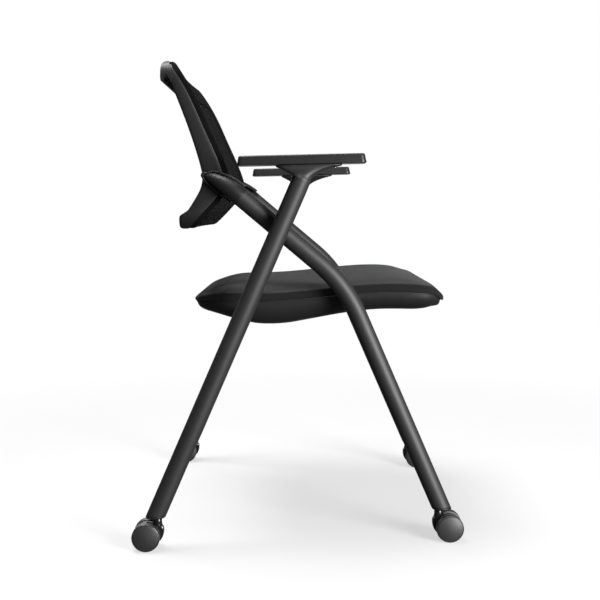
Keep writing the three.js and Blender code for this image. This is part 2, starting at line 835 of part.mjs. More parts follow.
// The middle of an end piece at a share of its length, drawn down and in as it tapers.
function connectorMiddle(side, share) {
  const middle = backTubeAt(backTubeLength + fitGap + connectorLength * share, side);
  const shrink = connectorRadius * (1 - readTable(connectorShares, share));
  middle.addScaledVector(acrossTube, -shrink * connectorDropShare);
  middle.y -= side * shrink;
  return middle;
}

// The plastic end piece of a back tube, made fatter by an extra size.
// A lead starts it that much lower on the tube, for cutting.
function connectorBody(side, extra, lead = 0) {
  const rings = connectorShares.map(([share, size]) => {
    const radius = connectorRadius * size + extra;
    const middle = connectorMiddle(side, share);
    middle.addScaledVector(upTube, share > 0 ? extra * share : -lead);
    const ring = [];
    for (let i = 0; i < tubeSides; i += 1) {
      const angle = 360 * degrees * i / tubeSides;
      ring.push(middle.clone()
        .addScaledVector(acrossTube, radius * Math.cos(angle))
        .add(at(0, radius * Math.sin(angle), 0)));
    }
    return ring;
  });
  return toSolid(skinRings(rings));
}

// The end piece of a back tube, with the spigot that goes into the tube.
function backConnector(side) {
  const end = backTubeAt(backTubeLength, side);
  const inside = end.clone().addScaledVector(upTube, -connectorInsert);
  const outside = end.clone().addScaledVector(upTube, fitGap + tubeWall);
  const spigot = toSolid(rod(inside, outside, plugRadius));
  return toGeometry(connectorBody(side, 0).add(spigot).subtract(backScrewHole(side)));
}

// A point on the line of the screw that holds the back to an end piece.
function backScrewAt(side, y) {
  const place = connectorMiddle(side, backScrewShare);
  return at(place.x, side * y, place.z);
}

// How far out from the middle of the chair that screw reaches.
function backScrewEnd() {
  return connectorMiddle(1, backScrewShare).y + backScrewRadius;
}

// The hole for that screw, through the frame and into the end piece.
function backScrewHole(side) {
  const inner = backHalfWidth - sideMemberWidth - overrun;
  return toSolid(rod(backScrewAt(side, inner), backScrewAt(side, backScrewEnd() + fitGap),
    backScrewRadius + fitGap, smallSides));
}

// The raised rim of the back's frame round an end piece.
function backRim(side) {
  const inner = side * (backHalfWidth - sideMemberWidth / 2);
  const outer = side * (backHalfWidth + rimHeight);
  const start = backTubeAt(backTubeLength, side);
  const reach = connectorLength + 4 * tubeDiameter;
  const slab = toSolid(block(
    at(start.x - reach, Math.min(inner, outer), start.z - reach),
    at(start.x + reach, Math.max(inner, outer), start.z + reach)));
  return connectorBody(side, rimWidth).intersect(slab);
}

// The back's outer frame: a ring with a hand grip along its top and a rim at each side.
function backFrame() {
  const body = toSolid(acrossChair(backSideView(), -backHalfWidth, backHalfWidth));
  const front = faceSheet(0, 2 * backDepth, overrun);
  let frame = body.subtract(front).intersect(backOutline(0)).subtract(backWindow(0));
  sides.forEach(([, side]) => {
    frame = frame.add(backRim(side));
    frame = frame.subtract(connectorBody(side, fitGap, overrun)).subtract(backScrewHole(side));
  });
  return toGeometry(frame);
}

// The inner frame that carries the mesh, in front of the outer frame.
function meshCarrier() {
  const sheet = faceSheet(fitGap, carrierDepth, overrun);
  let carrier = sheet.intersect(backOutline(0)).subtract(backWindow(carrierLip));
  sides.forEach(([, side]) => {
    carrier = carrier.subtract(connectorBody(side, rimWidth + fitGap, overrun));
  });
  return toGeometry(carrier);
}

// The stretched mesh, held inside its carrier.
function backMesh() {
  const front = carrierDepth - meshInset;
  const sheet = faceSheet(front - meshThickness, front, overrun);
  return toGeometry(sheet.intersect(backWindow(carrierLip + fitGap)));
}

// The screw that holds the back to an end piece.
function backScrew(side) {
  const seat = backHalfWidth - sideMemberWidth - fitGap;
  const head = toSolid(rod(backScrewAt(side, seat - backScrewHeadHeight), backScrewAt(side, seat),
    backScrewHead, smallSides));
  const shank = toSolid(rod(backScrewAt(side, seat - backScrewHeadHeight / 2),
    backScrewAt(side, backScrewEnd()), backScrewRadius, smallSides));
  return toGeometry(head.add(shank));
}

// The height of the underside of an arm pad.
function armUnderside(x) {
  return armBottom + (x - armMiddleX) * Math.tan(armTilt * degrees);
}

// Where an arm's screws stand.
function armScrewPlaces() {
  const middle = armMiddleX + armPlateOffset;
  const reach = armPlateLength / 2 - armScrewInset;
  return [['front', middle + reach], ['rear', middle - reach]];
}

// How an arm's bracket flares from the leg to its plate: shares of its rise, of its rear
// and front reach, and how square each ring is.
const flareShares = [
  [0, 0, 0, 2], [0.22, 0.17, 0.08, 2.2], [0.5, 0.4, 0.3, 2.6], [0.74, 0.66, 0.56, 3.2], [1, 1, 1, 4.5],
];
const flareBendShares = { rear: 0.9, front: 0.42 };
const armPlatePower = flareShares[flareShares.length - 1][3];

// The flared bracket between a rear leg and its arm pad.
function armBracket(side) {
  const seam = rearLegAt(rearLegTop + fitGap, side);
  const lean = legLean * degrees;
  const plateX = armMiddleX + armPlateOffset;
  const plate = (x) => armUnderside(x) - fitGap - armPlateThickness;
  const leftX = plateX - armPlateLength / 2;
  const rightX = plateX + armPlateLength / 2;
  const rings = flareShares.map(([rise, leftShare, rightShare, power]) => {
    const left = at(
      THREE.MathUtils.lerp(seam.x - tubeRadius * Math.cos(lean), leftX, leftShare), 0,
      THREE.MathUtils.lerp(
        seam.z + tubeRadius * Math.sin(lean), plate(leftX), leftShare ** flareBendShares.rear));
    const right = at(
      THREE.MathUtils.lerp(seam.x + tubeRadius * Math.cos(lean), rightX, rightShare), 0,
      THREE.MathUtils.lerp(
        seam.z - tubeRadius * Math.sin(lean), plate(rightX), rightShare ** flareBendShares.front));
    const y = THREE.MathUtils.lerp(seam.y, side * armMiddleY, rise);
    const half = THREE.MathUtils.lerp(tubeRadius, armPlateHalfWidth, rise ** 2);
    return bracketRing(left, right, y, half, power);
  });
  rings.push(bracketRing(
    at(leftX, 0, armUnderside(leftX) - fitGap), at(rightX, 0, armUnderside(rightX) - fitGap),
    side * armMiddleY, armPlateHalfWidth, armPlatePower));
  const spigot = toSolid(rod(
    rearLegAt(rearLegTop - connectorInsert, side), rearLegAt(rearLegTop + tubeWall, side), plugRadius));
  let bracket = toSolid(skinRings(rings)).add(spigot);
  armScrewPlaces().forEach(([, x]) => {
    bracket = bracket.subtract(armScrewSpace(x, side * armMiddleY));
  });
  return toGeometry(bracket);
}

// One ring of an arm bracket, between its rear and its front point.
function bracketRing(left, right, y, half, power) {
  const ring = [];
  for (let i = 0; i < tubeSides; i += 1) {
    const angle = 360 * degrees * i / tubeSides;
    const bend = (value) => Math.sign(value) * Math.abs(value) ** (2 / power);
    const along = (1 + bend(Math.cos(angle))) / 2;
    ring.push(left.clone().lerp(right, along).add(at(0, y + half * bend(Math.sin(angle)), 0)));
  }
  return ring;
}

// The space that an arm screw needs in its bracket: its hole and a recess for its head.
function armScrewSpace(x, y) {
  const top = armUnderside(x);
  const seat = top - armScrewCover;
  const hole = toSolid(rod(
    at(x, y, seat - overrun), at(x, y, top + overrun), armScrewRadius + fitGap, smallSides));
  const recess = toSolid(rod(
    at(x, y, seat - 2 * tubeDiameter), at(x, y, seat), armScrewHead + fitGap, smallSides));
  return hole.add(recess);
}

// A screw that holds an arm pad to its bracket.
function armScrew(x, y) {
  const seat = armUnderside(x) - armScrewCover - fitGap;
  const head = toSolid(rod(at(x, y, seat - armScrewHeadHeight), at(x, y, seat), armScrewHead, smallSides));
  const shank = toSolid(rod(
    at(x, y, seat - armScrewHeadHeight / 2), at(x, y, seat + armScrewLength), armScrewRadius, smallSides));
  return toGeometry(head.add(shank));
}

// How an arm pad is drafted: shares of its thickness and of its edge's draft.
const armPadShares = [[0, 0], [0.1, 0], [0.85, 0.75], [0.95, 1.1], [1, 2.1]];

// An arm pad, drafted in towards its top.
function armPad(side) {
  const half = armThickness / 2;
  const rings = armPadShares.map(([rise, draft]) => {
    const inset = armEdgeDraft * draft;
    const shape = roundRectangle(
      -armLength / 2 + inset, -armWidth / 2 + inset, armLength / 2 - inset, armWidth / 2 - inset,
      armCorner);
    return shape.getPoints(armCornerSteps).map((point) => at(point.x, point.y, armThickness * rise - half));
  });
  const pad = skinRings(rings.map((ring) => ring.slice(0, -1)));
  pad.rotateY(-armTilt * degrees);
  pad.translate(armMiddleX, side * armMiddleY, armBottom + half);
  let solid = toSolid(pad);
  armScrewPlaces().forEach(([, x]) => {
    const y = side * armMiddleY;
    const seat = armUnderside(x) - armScrewCover;
    const hole = rod(at(x, y, seat), at(x, y, seat + armScrewLength + fitGap),
      armScrewRadius + fitGap, smallSides);
    solid = solid.subtract(toSolid(hole));
  });
  return toGeometry(solid);
}

// The legs, their feet and what joins them.
sides.forEach(([name, side]) => {
  const rearFoot = (height) => rearLegAt(height, side);
  const frontFoot = (height) => frontLegAt(height, side);
  addPiece(`${name}_rear_leg`, rearLeg(side), 'steel');
  addPiece(`${name}_front_leg`, frontLeg(side), 'steel');
  addPiece(`${name}_leg_spacer`, legSpacer(side), 'steel');
  addPiece(`${name}_rear_leg_plug`, legPlug(rearFoot), 'plastic');
  addPiece(`${name}_front_leg_plug`, legPlug(frontFoot), 'plastic');
  addCaster(`${name}_rear`, -stemX, side * rearFootY);
  addCaster(`${name}_front`, stemX, side * frontLegY);
});
addPiece('seat_pivot_bar', pivotBar(), 'steel');
addPiece('front_cross_bar', frontBar(), 'steel');

// The seat and what it turns and rests on.
addPiece('seat_cushion', seatCushion(), 'fabric');
addPiece('seat_pan', seatPan(), 'board');
addPiece('seat_shell', seatShell(), 'plastic');
sides.forEach(([name, side]) => {
  addPiece(`${name}_pivot_bush`, pivotBush(side), 'plastic');
  addPiece(`${name}_pivot_clamp`, pivotClamp(side), 'zinc');
  addPiece(`${name}_seat_bumper`, seatBumper(side), 'rubber');
});

// The back.
addPiece('back_frame', backFrame(), 'plastic');
addPiece('mesh_carrier', meshCarrier(), 'plastic');
addPiece('back_mesh', backMesh(), 'mesh');
sides.forEach(([name, side]) => {
  addPiece(`${name}_back_connector`, backConnector(side), 'plastic');
  addPiece(`${name}_back_screw`, backScrew(side), 'zinc');
});

// The arms.
sides.forEach(([name, side]) => {
  addPiece(`${name}_arm_bracket`, armBracket(side), 'steel');
  addPiece(`${name}_arm_pad`, armPad(side), 'armPad');
  armScrewPlaces().forEach(([place, x]) => {
    addPiece(`${name}_${place}_arm_screw`, armScrew(x, side * armMiddleY), 'zinc');
  });
});

export default chair;
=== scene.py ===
import json
import math

import bmesh
import bpy
from mathutils import Matrix, Vector
from mathutils.kdtree import KDTree


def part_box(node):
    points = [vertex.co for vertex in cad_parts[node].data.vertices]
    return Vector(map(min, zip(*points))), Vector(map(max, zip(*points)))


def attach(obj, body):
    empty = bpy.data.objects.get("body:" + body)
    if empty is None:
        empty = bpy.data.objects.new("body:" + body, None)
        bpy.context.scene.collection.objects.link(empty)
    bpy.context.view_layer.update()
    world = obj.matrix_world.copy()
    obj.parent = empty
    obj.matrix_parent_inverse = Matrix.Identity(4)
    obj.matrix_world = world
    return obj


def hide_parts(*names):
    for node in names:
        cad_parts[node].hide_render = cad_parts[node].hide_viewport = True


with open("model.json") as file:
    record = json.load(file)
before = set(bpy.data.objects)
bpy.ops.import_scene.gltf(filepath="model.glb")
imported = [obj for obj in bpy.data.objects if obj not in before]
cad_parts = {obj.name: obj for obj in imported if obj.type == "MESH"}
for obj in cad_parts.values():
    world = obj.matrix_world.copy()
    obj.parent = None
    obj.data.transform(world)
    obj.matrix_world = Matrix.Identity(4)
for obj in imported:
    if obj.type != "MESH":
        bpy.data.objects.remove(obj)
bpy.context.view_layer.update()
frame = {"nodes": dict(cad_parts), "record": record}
nodes = frame["nodes"]

# A nesting chair. Metres, +X is the front of the chair, +Y the sitter's left, +Z up.

SIDES = [("left", 1), ("right", -1)]
UP = Vector((0, 0, 1))
ACROSS = Vector((0, 1, 0))
FORWARD = Vector((1, 0, 0))
FIT_GAP = 0.0003
SAME_POINT = 1e-7
TINY = 1e-9
SHARP_ANGLE = math.radians(32)

# Legs
TUBE_RADIUS = 0.016
TUBE_SEGMENTS = 56
LEG_LEAN = math.radians(23.55)
FOOT_HEIGHT = 0.0605
REAR_FOOT_REACH = 0.2476
REAR_FOOT_Y = 0.2988
REAR_TOP_Y = 0.2863
REAR_LEG_TOP = 0.6339
FRONT_FOOT_REACH = 0.2496
FRONT_LEG_Y = 0.2505
BEND_HEIGHT = 0.4532
BEND_RADIUS = 0.250
BEND_STEPS = 28
BACK_TUBE_RISE = math.radians(40.1)
BACK_TUBE_LENGTH = 0.236
LIP_HEIGHT = 0.0052
# A foot lip's side from its underside up: height above its lower edge, and share of the tube's radius.
LIP_SIDE = [
    (0.0, 0.62), (0.0, 0.88), (0.0004, 0.945), (0.0012, 0.985), (0.0024, 1.0), (0.0036, 1.0),
    (0.0044, 0.98), (0.0050, 0.93), (0.0056, 0.84)]
WELD_THICKNESS = 0.0021
WELD_PROUD = 0.0008
WELD_STEPS = 72
WELD_SIDES = 10
WELD_RIPPLE = 0.10
WELD_RIPPLES = 23

LEAN_SLOPE = math.tan(LEG_LEAN)
SPLAY_SLOPE = (REAR_FOOT_Y - REAR_TOP_Y) / (REAR_LEG_TOP - FOOT_HEIGHT)
BEND_X = FRONT_FOOT_REACH - (BEND_HEIGHT - FOOT_HEIGHT) * LEAN_SLOPE
UP_TUBE = Vector((-math.cos(BACK_TUBE_RISE), 0, math.sin(BACK_TUBE_RISE)))
OVER_TUBE = Vector((math.sin(BACK_TUBE_RISE), 0, math.cos(BACK_TUBE_RISE)))
LIP_BOTTOM = FOOT_HEIGHT - FIT_GAP - LIP_HEIGHT

# Casters
STEM_X = 0.2459
CASTER_TRAIL = 0.0185
WHEEL_RADIUS = 0.0242
WHEEL_WIDTH = 0.0186
WHEEL_SPACING = 0.015
WHEEL_DOME = 0.0034
HOOD_THICKNESS = 0.0134
HOOD_RADIUS = 0.0232
HOOD_REACH = 0.0295
HUB_BORE = 0.0045
HUB_RADIUS = 0.0060
HUB_CHAMFER = 0.0006
# A tread's inner edge, and its outer edge with the groove round the face: distance out and drop.
TREAD_INNER_EDGE = [(0, 0.0022), (0.0006, 0.0007), (0.0018, 0)]
TREAD_OUTER_EDGE = [
    (-0.0022, 0), (-0.0008, 0.0004), (-0.0002, 0.0012), (-0.0009, 0.0017), (-0.0007, 0.0021),
    (0.0001, 0.0024)]
FACE_STEP = 0.0003
FACE_INSET = 0.0027
FACE_STEPS = 12
FACE_TIP = 0.0004
# The hood's side view: an arc over the wheels, then shares of its radius.
HOOD_ARC = (math.radians(205), math.radians(50))
HOOD_ARC_STEPS = 32
HOOD_NOSE_SHARES = (0.9, 0.42, -0.4)
HOOD_NOSE_STEPS = 10
HOOD_FLOOR_SHARES = ((0.6, -0.66), (-0.35, -0.66))
HOOD_FLOOR_STEPS = 4
# The hood's rounded edge: distance from its face, and share of its outline.
HOOD_EDGE = [(0, 0.90), (0.0004, 0.945), (0.0014, 0.985), (0.003, 1.0)]
NECK_RADIUS = 0.0075
NECK_SEGMENTS = 48
# The neck's side from its root in the hood up: depth below its top, and swell beyond its radius.
NECK_SIDE = [
    (0.022, -0.00075), (0.016, 0.0012), (0.012, 0.0008), (0.008, 0), (0.0012, 0), (0.0004, -0.0004),
    (0, -0.0012)]

# Seat
SEAT_MIDDLE_X = 0.0345
SEAT_HALF_DEPTH = 0.228
SEAT_HALF_WIDTH = 0.2275
SEAT_POWER = 9
SEAT_TWIST = 0.12
SEAT_SEGMENTS = 192
SEAM_HEIGHT = 0.4225
# How far the seam rises and drops, and where: shares of the half depth, from the middle forward.
SEAM_RISE = 0.017
SEAM_RISE_SHARES = (-0.5, 0.55)
SEAM_FRONT_DROP = 0.012
SEAM_FRONT_SHARES = (0.6, 1.3)
SEAM_NOSE_DROP = 0.0165
SEAM_NOSE_SHARES = (0.88, 1.03)
SEAM_TAIL_DROP = 0.0035
SEAM_TAIL_SHARES = (0.8, 1.02)
SEAM_TUCK = 0.0007
# Two insets are for the nose and the tail; three values are for the nose, the tail and the sides.
CUSHION_SHOULDER = 0.017
CUSHION_CROWN = 0.0145
CUSHION_CROWN_POWER = 3
CUSHION_PULL_IN = 0.0035
CUSHION_END_INSETS = (-0.0025, -0.0008)
CUSHION_WALL_SHARES = (0.65, 0.34, 0.9)
CUSHION_ROUND_POWERS = (8, 3, 12)
# The cushion's rings: its underside, the tucked edge, the wall's (rise, pull) and the top.
CUSHION_UNDER_SHARES = (0.1, 0.25, 0.4, 0.55, 0.7, 0.8, 0.9, 0.96)
CUSHION_TUCK_SHARES = (0.985, 1.0)
CUSHION_SIDE_SHARES = ((0.12, 0.75), (0.3, 0.42), (0.5, 0.25), (0.75, 0.1))
CUSHION_TOP_SHARES = (
    1, 0.994, 0.985, 0.975, 0.96, 0.94, 0.92, 0.89, 0.86, 0.81, 0.76, 0.68, 0.6, 0.5, 0.4, 0.29, 0.18,
    0.08)
# How far the cushion is pulled in before it is filled, and how far the filling may push it.
CUSHION_SLACK = 0.0022
CUSHION_MOST_PUSH = 0.004
CUSHION_CELL = 0.005
FILL_FRAMES = 20
FILL_NEIGHBOURS = 40
FILL_SETTINGS = {
    "quality": 6, "mass": 0.3, "tension_stiffness": 30, "compression_stiffness": 30,
    "shear_stiffness": 15, "bending_stiffness": 6, "use_pressure": True, "uniform_pressure_force": 4}
SHELL_DEPTH = 0.047
# The shell's depth from tail to nose: shares of the half depth from the middle, and of the depth.
SHELL_DEPTH_SHARES = [
    (-1, 0.54), (-0.85, 0.59), (-0.73, 0.7), (-0.6, 0.86), (-0.48, 0.97), (-0.27, 1), (-0.1, 0.93),
    (0.2, 0.81), (0.5, 0.75), (0.8, 0.785), (1, 0.83)]
SHELL_END_POWER = 7
SHELL_SIDE_POWER = 12
SHELL_WALL = 0.0025
SHELL_INSET = 0.0025
SHELL_END_INSETS = (0.0028, 0.0022)
SHELL_OUTSIDE_SHARES = (
    0.08, 0.25, 0.45, 0.6, 0.72, 0.8, 0.86, 0.905, 0.935, 0.958, 0.974, 0.985, 0.993, 0.998, 1.0)
SHELL_INSIDE_SHARES = (0.99, 0.97, 0.93, 0.86, 0.75, 0.55, 0.3, 0.1)
SHELL_LIP = 0.0022
# The lip's rounded edge: how far it stands out, and how far down the lip, as a share.
SHELL_LIP_EDGE = ((-0.0010, 0.85), (-0.0012, 0.6), (-0.0010, 0.3), (-0.0004, 0.08), (0.0006, 0))
PIVOT = Vector((-0.0994, 0, 0.4005))
BAR_RADIUS = 0.010
BAR_SEGMENTS = 48
BAR_REACH_SHARE = 0.9
BUMPER_RADIUS = 0.0130
BUMPER_LENGTH = 0.030
BUMPER_SPREAD = 0.140
BUMPER_BORE_GAP = 0.0006
# A rubber ring's rounded edge: distance from its end, and drop below its radius.
BUMPER_EDGE = [(0, 0.0010), (0.0003, 0.0003), (0.0010, 0)]

# Back
BACK_HALF_WIDTH = 0.2337
BACK_REAR_X = -0.241
BACK_DEPTH = 0.111
BACK_BOTTOM = 0.550
BACK_HEIGHT = 0.293
BACK_CORNER = 0.032
SIDE_MEMBER = 0.024
BOTTOM_RAIL = 0.026
TOP_RAIL = 0.040
WINDOW_CORNER = 0.022
BACK_HOLLOW = 0.020
TOP_HOLLOW_SHARE = 0.4
CARRIER_DEPTH = 0.010
CARRIER_LIP = 0.003
CARRIER_SEAT = 0.0015
MESH_INSET = 0.0035
NET_THICKNESS = 0.001
NET_PITCH = 0.0042
NET_THREAD = 0.0017
NET_TUCK = 0.002
# The length of the face's curve as a share of its height.
FACE_CURVE_SHARE = 1.12
CONNECTOR_RADIUS = 0.0164
CONNECTOR_LENGTH = 0.073
CONNECTOR_DROP_SHARE = 0.9
CONNECTOR_GROOVE = 0.0012
CONNECTOR_STEPS = 32
CONNECTOR_SHARES = [(0, 1), (0.2, 0.98), (0.42, 0.9), (0.62, 0.77), (0.8, 0.6), (0.93, 0.4), (1, 0.2)]
# The chamfer of an end piece where it meets its tube: distance along it and inset.
CONNECTOR_START_EDGE = [(0, 0.0012), (0.0004, 0.0004), (0.0012, 0)]
CONNECTOR_TIP_ANGLES = [math.radians(30), math.radians(55), math.radians(75)]
CONNECTOR_TIP_SHARE = 0.8
RIM_WIDTH = 0.0052
RIM_HEIGHT = 0.0095
RIM_ROUND = 0.0020
RIM_SHOULDER = 0.0022
RIM_ROOT = 0.006
RIM_FOOT = 0.0006
RIM_FOOT_HEIGHT = 0.0004
RIM_START_SHARE = 0.10
RIM_PATH_STEPS = 40
RIM_TURN_STEPS = 12
RIM_STEPS = 90

# Arms
ARM_LENGTH = 0.218
ARM_WIDTH = 0.056
ARM_X = 0.0030
ARM_Y = 0.2708
ARM_BOTTOM = 0.6599
ARM_TILT = math.radians(1.3)
ARM_CORNER = 0.009
ARM_CORNER_SHARE = 0.5
ARM_CORNER_LEAST = 0.002
PLATE_LENGTH = 0.112
PLATE_OFFSET = 0.012
PLATE_HALF_WIDTH = 0.020
PLATE_THICKNESS = 0.0024

# Camera: where the photograph was taken from
CAMERA_PLACE = Vector((0, -1.95, 0.58665))
CAMERA_PITCH = math.radians(5.355)
CAMERA_LENS = 58.81
CAMERA_SENSOR = 36


def set_camera():
    """The camera at the photograph's viewing angle."""
    data = bpy.data.cameras.new("camera")
    data.lens = CAMERA_LENS
    data.sensor_width = CAMERA_SENSOR
    camera = bpy.data.objects.new("camera", data)
    camera.location = CAMERA_PLACE
    camera.rotation_euler = (math.radians(90) - CAMERA_PITCH, 0, 0)
    bpy.context.scene.collection.objects.link(camera)
    bpy.context.scene.camera = camera


# Materials

def new_material(name, color, roughness, metallic=0.0, specular=0.5):
    """A material with its plain values on the shader, and its node tree."""
    material = bpy.data.materials.new(name)
    material.use_nodes = True
    shader = material.node_tree.nodes["Principled BSDF"]
    shader.inputs["Base Color"].default_value = (*color, 1)
    shader.inputs["Roughness"].default_value = roughness
    shader.inputs["Metallic"].default_value = metallic
    shader.inputs["Specular IOR Level"].default_value = specular
    return material, material.node_tree, shader


def add_node(tree, kind, **values):
    """A node with some of its inputs or properties set."""
    node = tree.nodes.new(kind)
    for name, value in values.items():
        if name in node.inputs:
            node.inputs[name].default_value = value
        else:
            setattr(node, name, value)
    return node


def object_coordinates(tree):
    return tree.nodes.new("ShaderNodeTexCoord").outputs["Object"]


def noise_texture(tree, scale, detail=2.0):
    noise = add_node(tree, "ShaderNodeTexNoise", Scale=scale, Detail=detail)
    tree.links.new(object_coordinates(tree), noise.inputs["Vector"])
    return noise.outputs["Fac"]


def cell_texture(tree, scale):
    cells = add_node(tree, "ShaderNodeTexVoronoi", Scale=scale)
    tree.links.new(object_coordinates(tree), cells.inputs["Vector"])
    return cells.outputs["Distance"]


def remap(tree, value, source, target, way="LINEAR"):
    """A value that runs over one range made to run over another."""
    ranged = add_node(tree, "ShaderNodeMapRange", interpolation_type=way)
    tree.links.new(value, ranged.inputs["Value"])
    for name, (low, high) in (("From", source), ("To", target)):
        ranged.inputs[f"{name} Min"].default_value = low
        ranged.inputs[f"{name} Max"].default_value = high
    return ranged.outputs["Result"]


def calculated(tree, operation, first, second):
    """A math node's result for two values, of which the second may be a plain number."""
    node = add_node(tree, "ShaderNodeMath", operation=operation)
    tree.links.new(first, node.inputs[0])
    if isinstance(second, float):
        node.inputs[1].default_value = second
    else:
        tree.links.new(second, node.inputs[1])
    return node.outputs[0]


def vary_roughness(tree, shader, value, low, high):
    """The roughness made to vary between two values with a texture."""
    tree.links.new(remap(tree, value, (0, 1), (low, high)), shader.inputs["Roughness"])


def tint(tree, value, dark, light, shader):
    """The base colour made to vary between two colours with a texture."""
    mix = tree.nodes.new("ShaderNodeMix")
    mix.data_type = "RGBA"
    mix.inputs["A"].default_value = (*dark, 1)
    mix.inputs["B"].default_value = (*light, 1)
    tree.links.new(value, mix.inputs["Factor"])
    tree.links.new(mix.outputs["Result"], shader.inputs["Base Color"])


def bump(tree, shader, value, strength, depth, under=None):
    """A texture as relief, of a depth in metres."""
    relief = add_node(tree, "ShaderNodeBump", Strength=strength, Distance=depth)
    tree.links.new(value, relief.inputs["Height"])
    if under:
        tree.links.new(under.outputs["Normal"], relief.inputs["Normal"])
    tree.links.new(relief.outputs["Normal"], shader.inputs["Normal"])
    return relief


def grey(value):
    return (value, value, value * 1.02)


def powder_coat():
    """Satin black powder coat: a faint orange peel and slight changes in its sheen."""
    material, tree, shader = new_material("black_powder_coat", grey(0.016), 0.55, specular=0.6)
    vary_roughness(tree, shader, noise_texture(tree, 35, 3), 0.51, 0.58)
    tint(tree, noise_texture(tree, 60, 4), grey(0.014), grey(0.018), shader)
    bump(tree, shader, noise_texture(tree, 900, 2), 0.12, 0.0002)
    return material


def moulded_plastic(name, value, roughness, grain=1600, strength=0.35, specular=0.35):
    """Matte moulded plastic with a fine spark-eroded grain."""
    material, tree, shader = new_material(name, grey(value), roughness, specular=specular)
    vary_roughness(tree, shader, noise_texture(tree, 80, 3), roughness - 0.06, roughness + 0.06)
    tint(tree, noise_texture(tree, 24, 4), grey(value * 0.9), grey(value * 1.12), shader)
    bump(tree, shader, cell_texture(tree, grain), strength, 0.00012)
    return material


def gloss_plastic():
    """Polished black plastic with hairline scuffs."""
    material, tree, shader = new_material("gloss_black_plastic", grey(0.010), 0.12)
    vary_roughness(tree, shader, noise_texture(tree, 220, 5), 0.07, 0.20)
    return material


def zinc_plate():
    """Bright zinc on the hidden screws, stems and axles."""
    material, tree, shader = new_material("zinc_plate", (0.55, 0.55, 0.54), 0.35, metallic=1.0)
    tint(tree, noise_texture(tree, 180, 4), (0.46, 0.46, 0.45), (0.62, 0.62, 0.61), shader)
    vary_roughness(tree, shader, noise_texture(tree, 400, 3), 0.25, 0.45)
    return material


def plywood():
    """The bare board inside the seat, with its grain along the chair."""
    material, tree, shader = new_material("plywood", (0.42, 0.29, 0.16), 0.65)
    mapping = tree.nodes.new("ShaderNodeMapping")
    mapping.inputs["Scale"].default_value = (1, 14, 14)
    tree.links.new(object_coordinates(tree), mapping.inputs["Vector"])
    noise = add_node(tree, "ShaderNodeTexNoise", Scale=9.0, Detail=6.0)
    tree.links.new(mapping.outputs["Vector"], noise.inputs["Vector"])
    tint(tree, noise.outputs["Fac"], (0.30, 0.19, 0.10), (0.55, 0.40, 0.24), shader)
    return material


def rubber():
    """Matte black rubber."""
    material, tree, shader = new_material("black_rubber", grey(0.018), 0.8, specular=0.3)
    tint(tree, noise_texture(tree, 90, 4), grey(0.014), grey(0.026), shader)
    bump(tree, shader, noise_texture(tree, 1300, 3), 0.25, 0.0002)
    return material


def weave_height(tree, pitch, vector):
    """The relief of a plain weave with threads at a pitch, on two axes of a vector."""
    split = tree.nodes.new("ShaderNodeSeparateXYZ")
    tree.links.new(vector, split.inputs["Vector"])
    waves = []
    for axis in ("X", "Y"):
        wave = add_node(tree, "ShaderNodeMath", operation="SINE")
        scaled = calculated(tree, "MULTIPLY", split.outputs[axis], 2 * math.pi / pitch)
        tree.links.new(scaled, wave.inputs[0])
        waves.append(wave.outputs[0])
    return remap(tree, calculated(tree, "MULTIPLY", *waves), (-1, 1), (0, 1))


def leaning_coordinates(tree):
    """Object coordinates with the height added to both, so that a weave also covers upright walls."""
    mixed = tree.nodes.new("ShaderNodeVectorMath")
    mixed.operation = "ADD"
    split = tree.nodes.new("ShaderNodeSeparateXYZ")
    tree.links.new(object_coordinates(tree), split.inputs["Vector"])
    joined = tree.nodes.new("ShaderNodeCombineXYZ")
    tree.links.new(split.outputs["Z"], joined.inputs["X"])
    tree.links.new(split.outputs["Z"], joined.inputs["Y"])
    tree.links.new(object_coordinates(tree), mixed.inputs[0])
    tree.links.new(joined.outputs["Vector"], mixed.inputs[1])
    return mixed.outputs["Vector"]


def seat_fabric():
    """Black upholstery fabric: a tight weave, a mottled yarn colour and a little sheen."""
    material, tree, shader = new_material("seat_fabric", grey(0.011), 0.92, specular=0.12)
    shader.inputs["Sheen Weight"].default_value = 0.11
    shader.inputs["Sheen Roughness"].default_value = 0.45
    shader.inputs["Sheen Tint"].default_value = (0.7, 0.7, 0.72, 1)
    height = weave_height(tree, 0.0016, leaning_coordinates(tree))
    yarn = noise_texture(tree, 700, 3)
    tint(tree, yarn, grey(0.006), grey(0.017), shader)
    first = bump(tree, shader, height, 0.55, 0.0004)
    bump(tree, shader, noise_texture(tree, 1400, 3), 0.35, 0.0003, under=first)
    return material


def back_mesh_fabric():
    """The threads of the black net: fine twisted yarn."""
    material, tree, shader = new_material("back_mesh_fabric", grey(0.006), 0.9, specular=0.12)
    tint(tree, noise_texture(tree, 500, 3), grey(0.004), grey(0.009), shader)
    bump(tree, shader, noise_texture(tree, 2600, 3), 0.5, 0.0003)
    return material


def net_wrap():
    """The net where it is pulled round its carrier: a close knit on a black ground."""
    material, tree, shader = new_material("net_wrap", grey(0.004), 0.9, specular=0.05)
    height = weave_height(tree, 0.0021, leaning_coordinates(tree))
    tint(tree, height, grey(0.0025), grey(0.006), shader)
    bump(tree, shader, height, 0.7, 0.0004)
    return material


# Mesh tools

def ring(middle, along, across, half_along, half_across, count, power=2.0):
    """A ring of points: an ellipse, or with a higher power a rounder-cornered square."""
    points = []
    for i in range(count):
        angle = 2 * math.pi * i / count
        bent = [math.copysign(abs(v) ** (2 / power), v) for v in (math.cos(angle), math.sin(angle))]
        points.append(middle + along * half_along * bent[0] + across * half_across * bent[1])
    return points


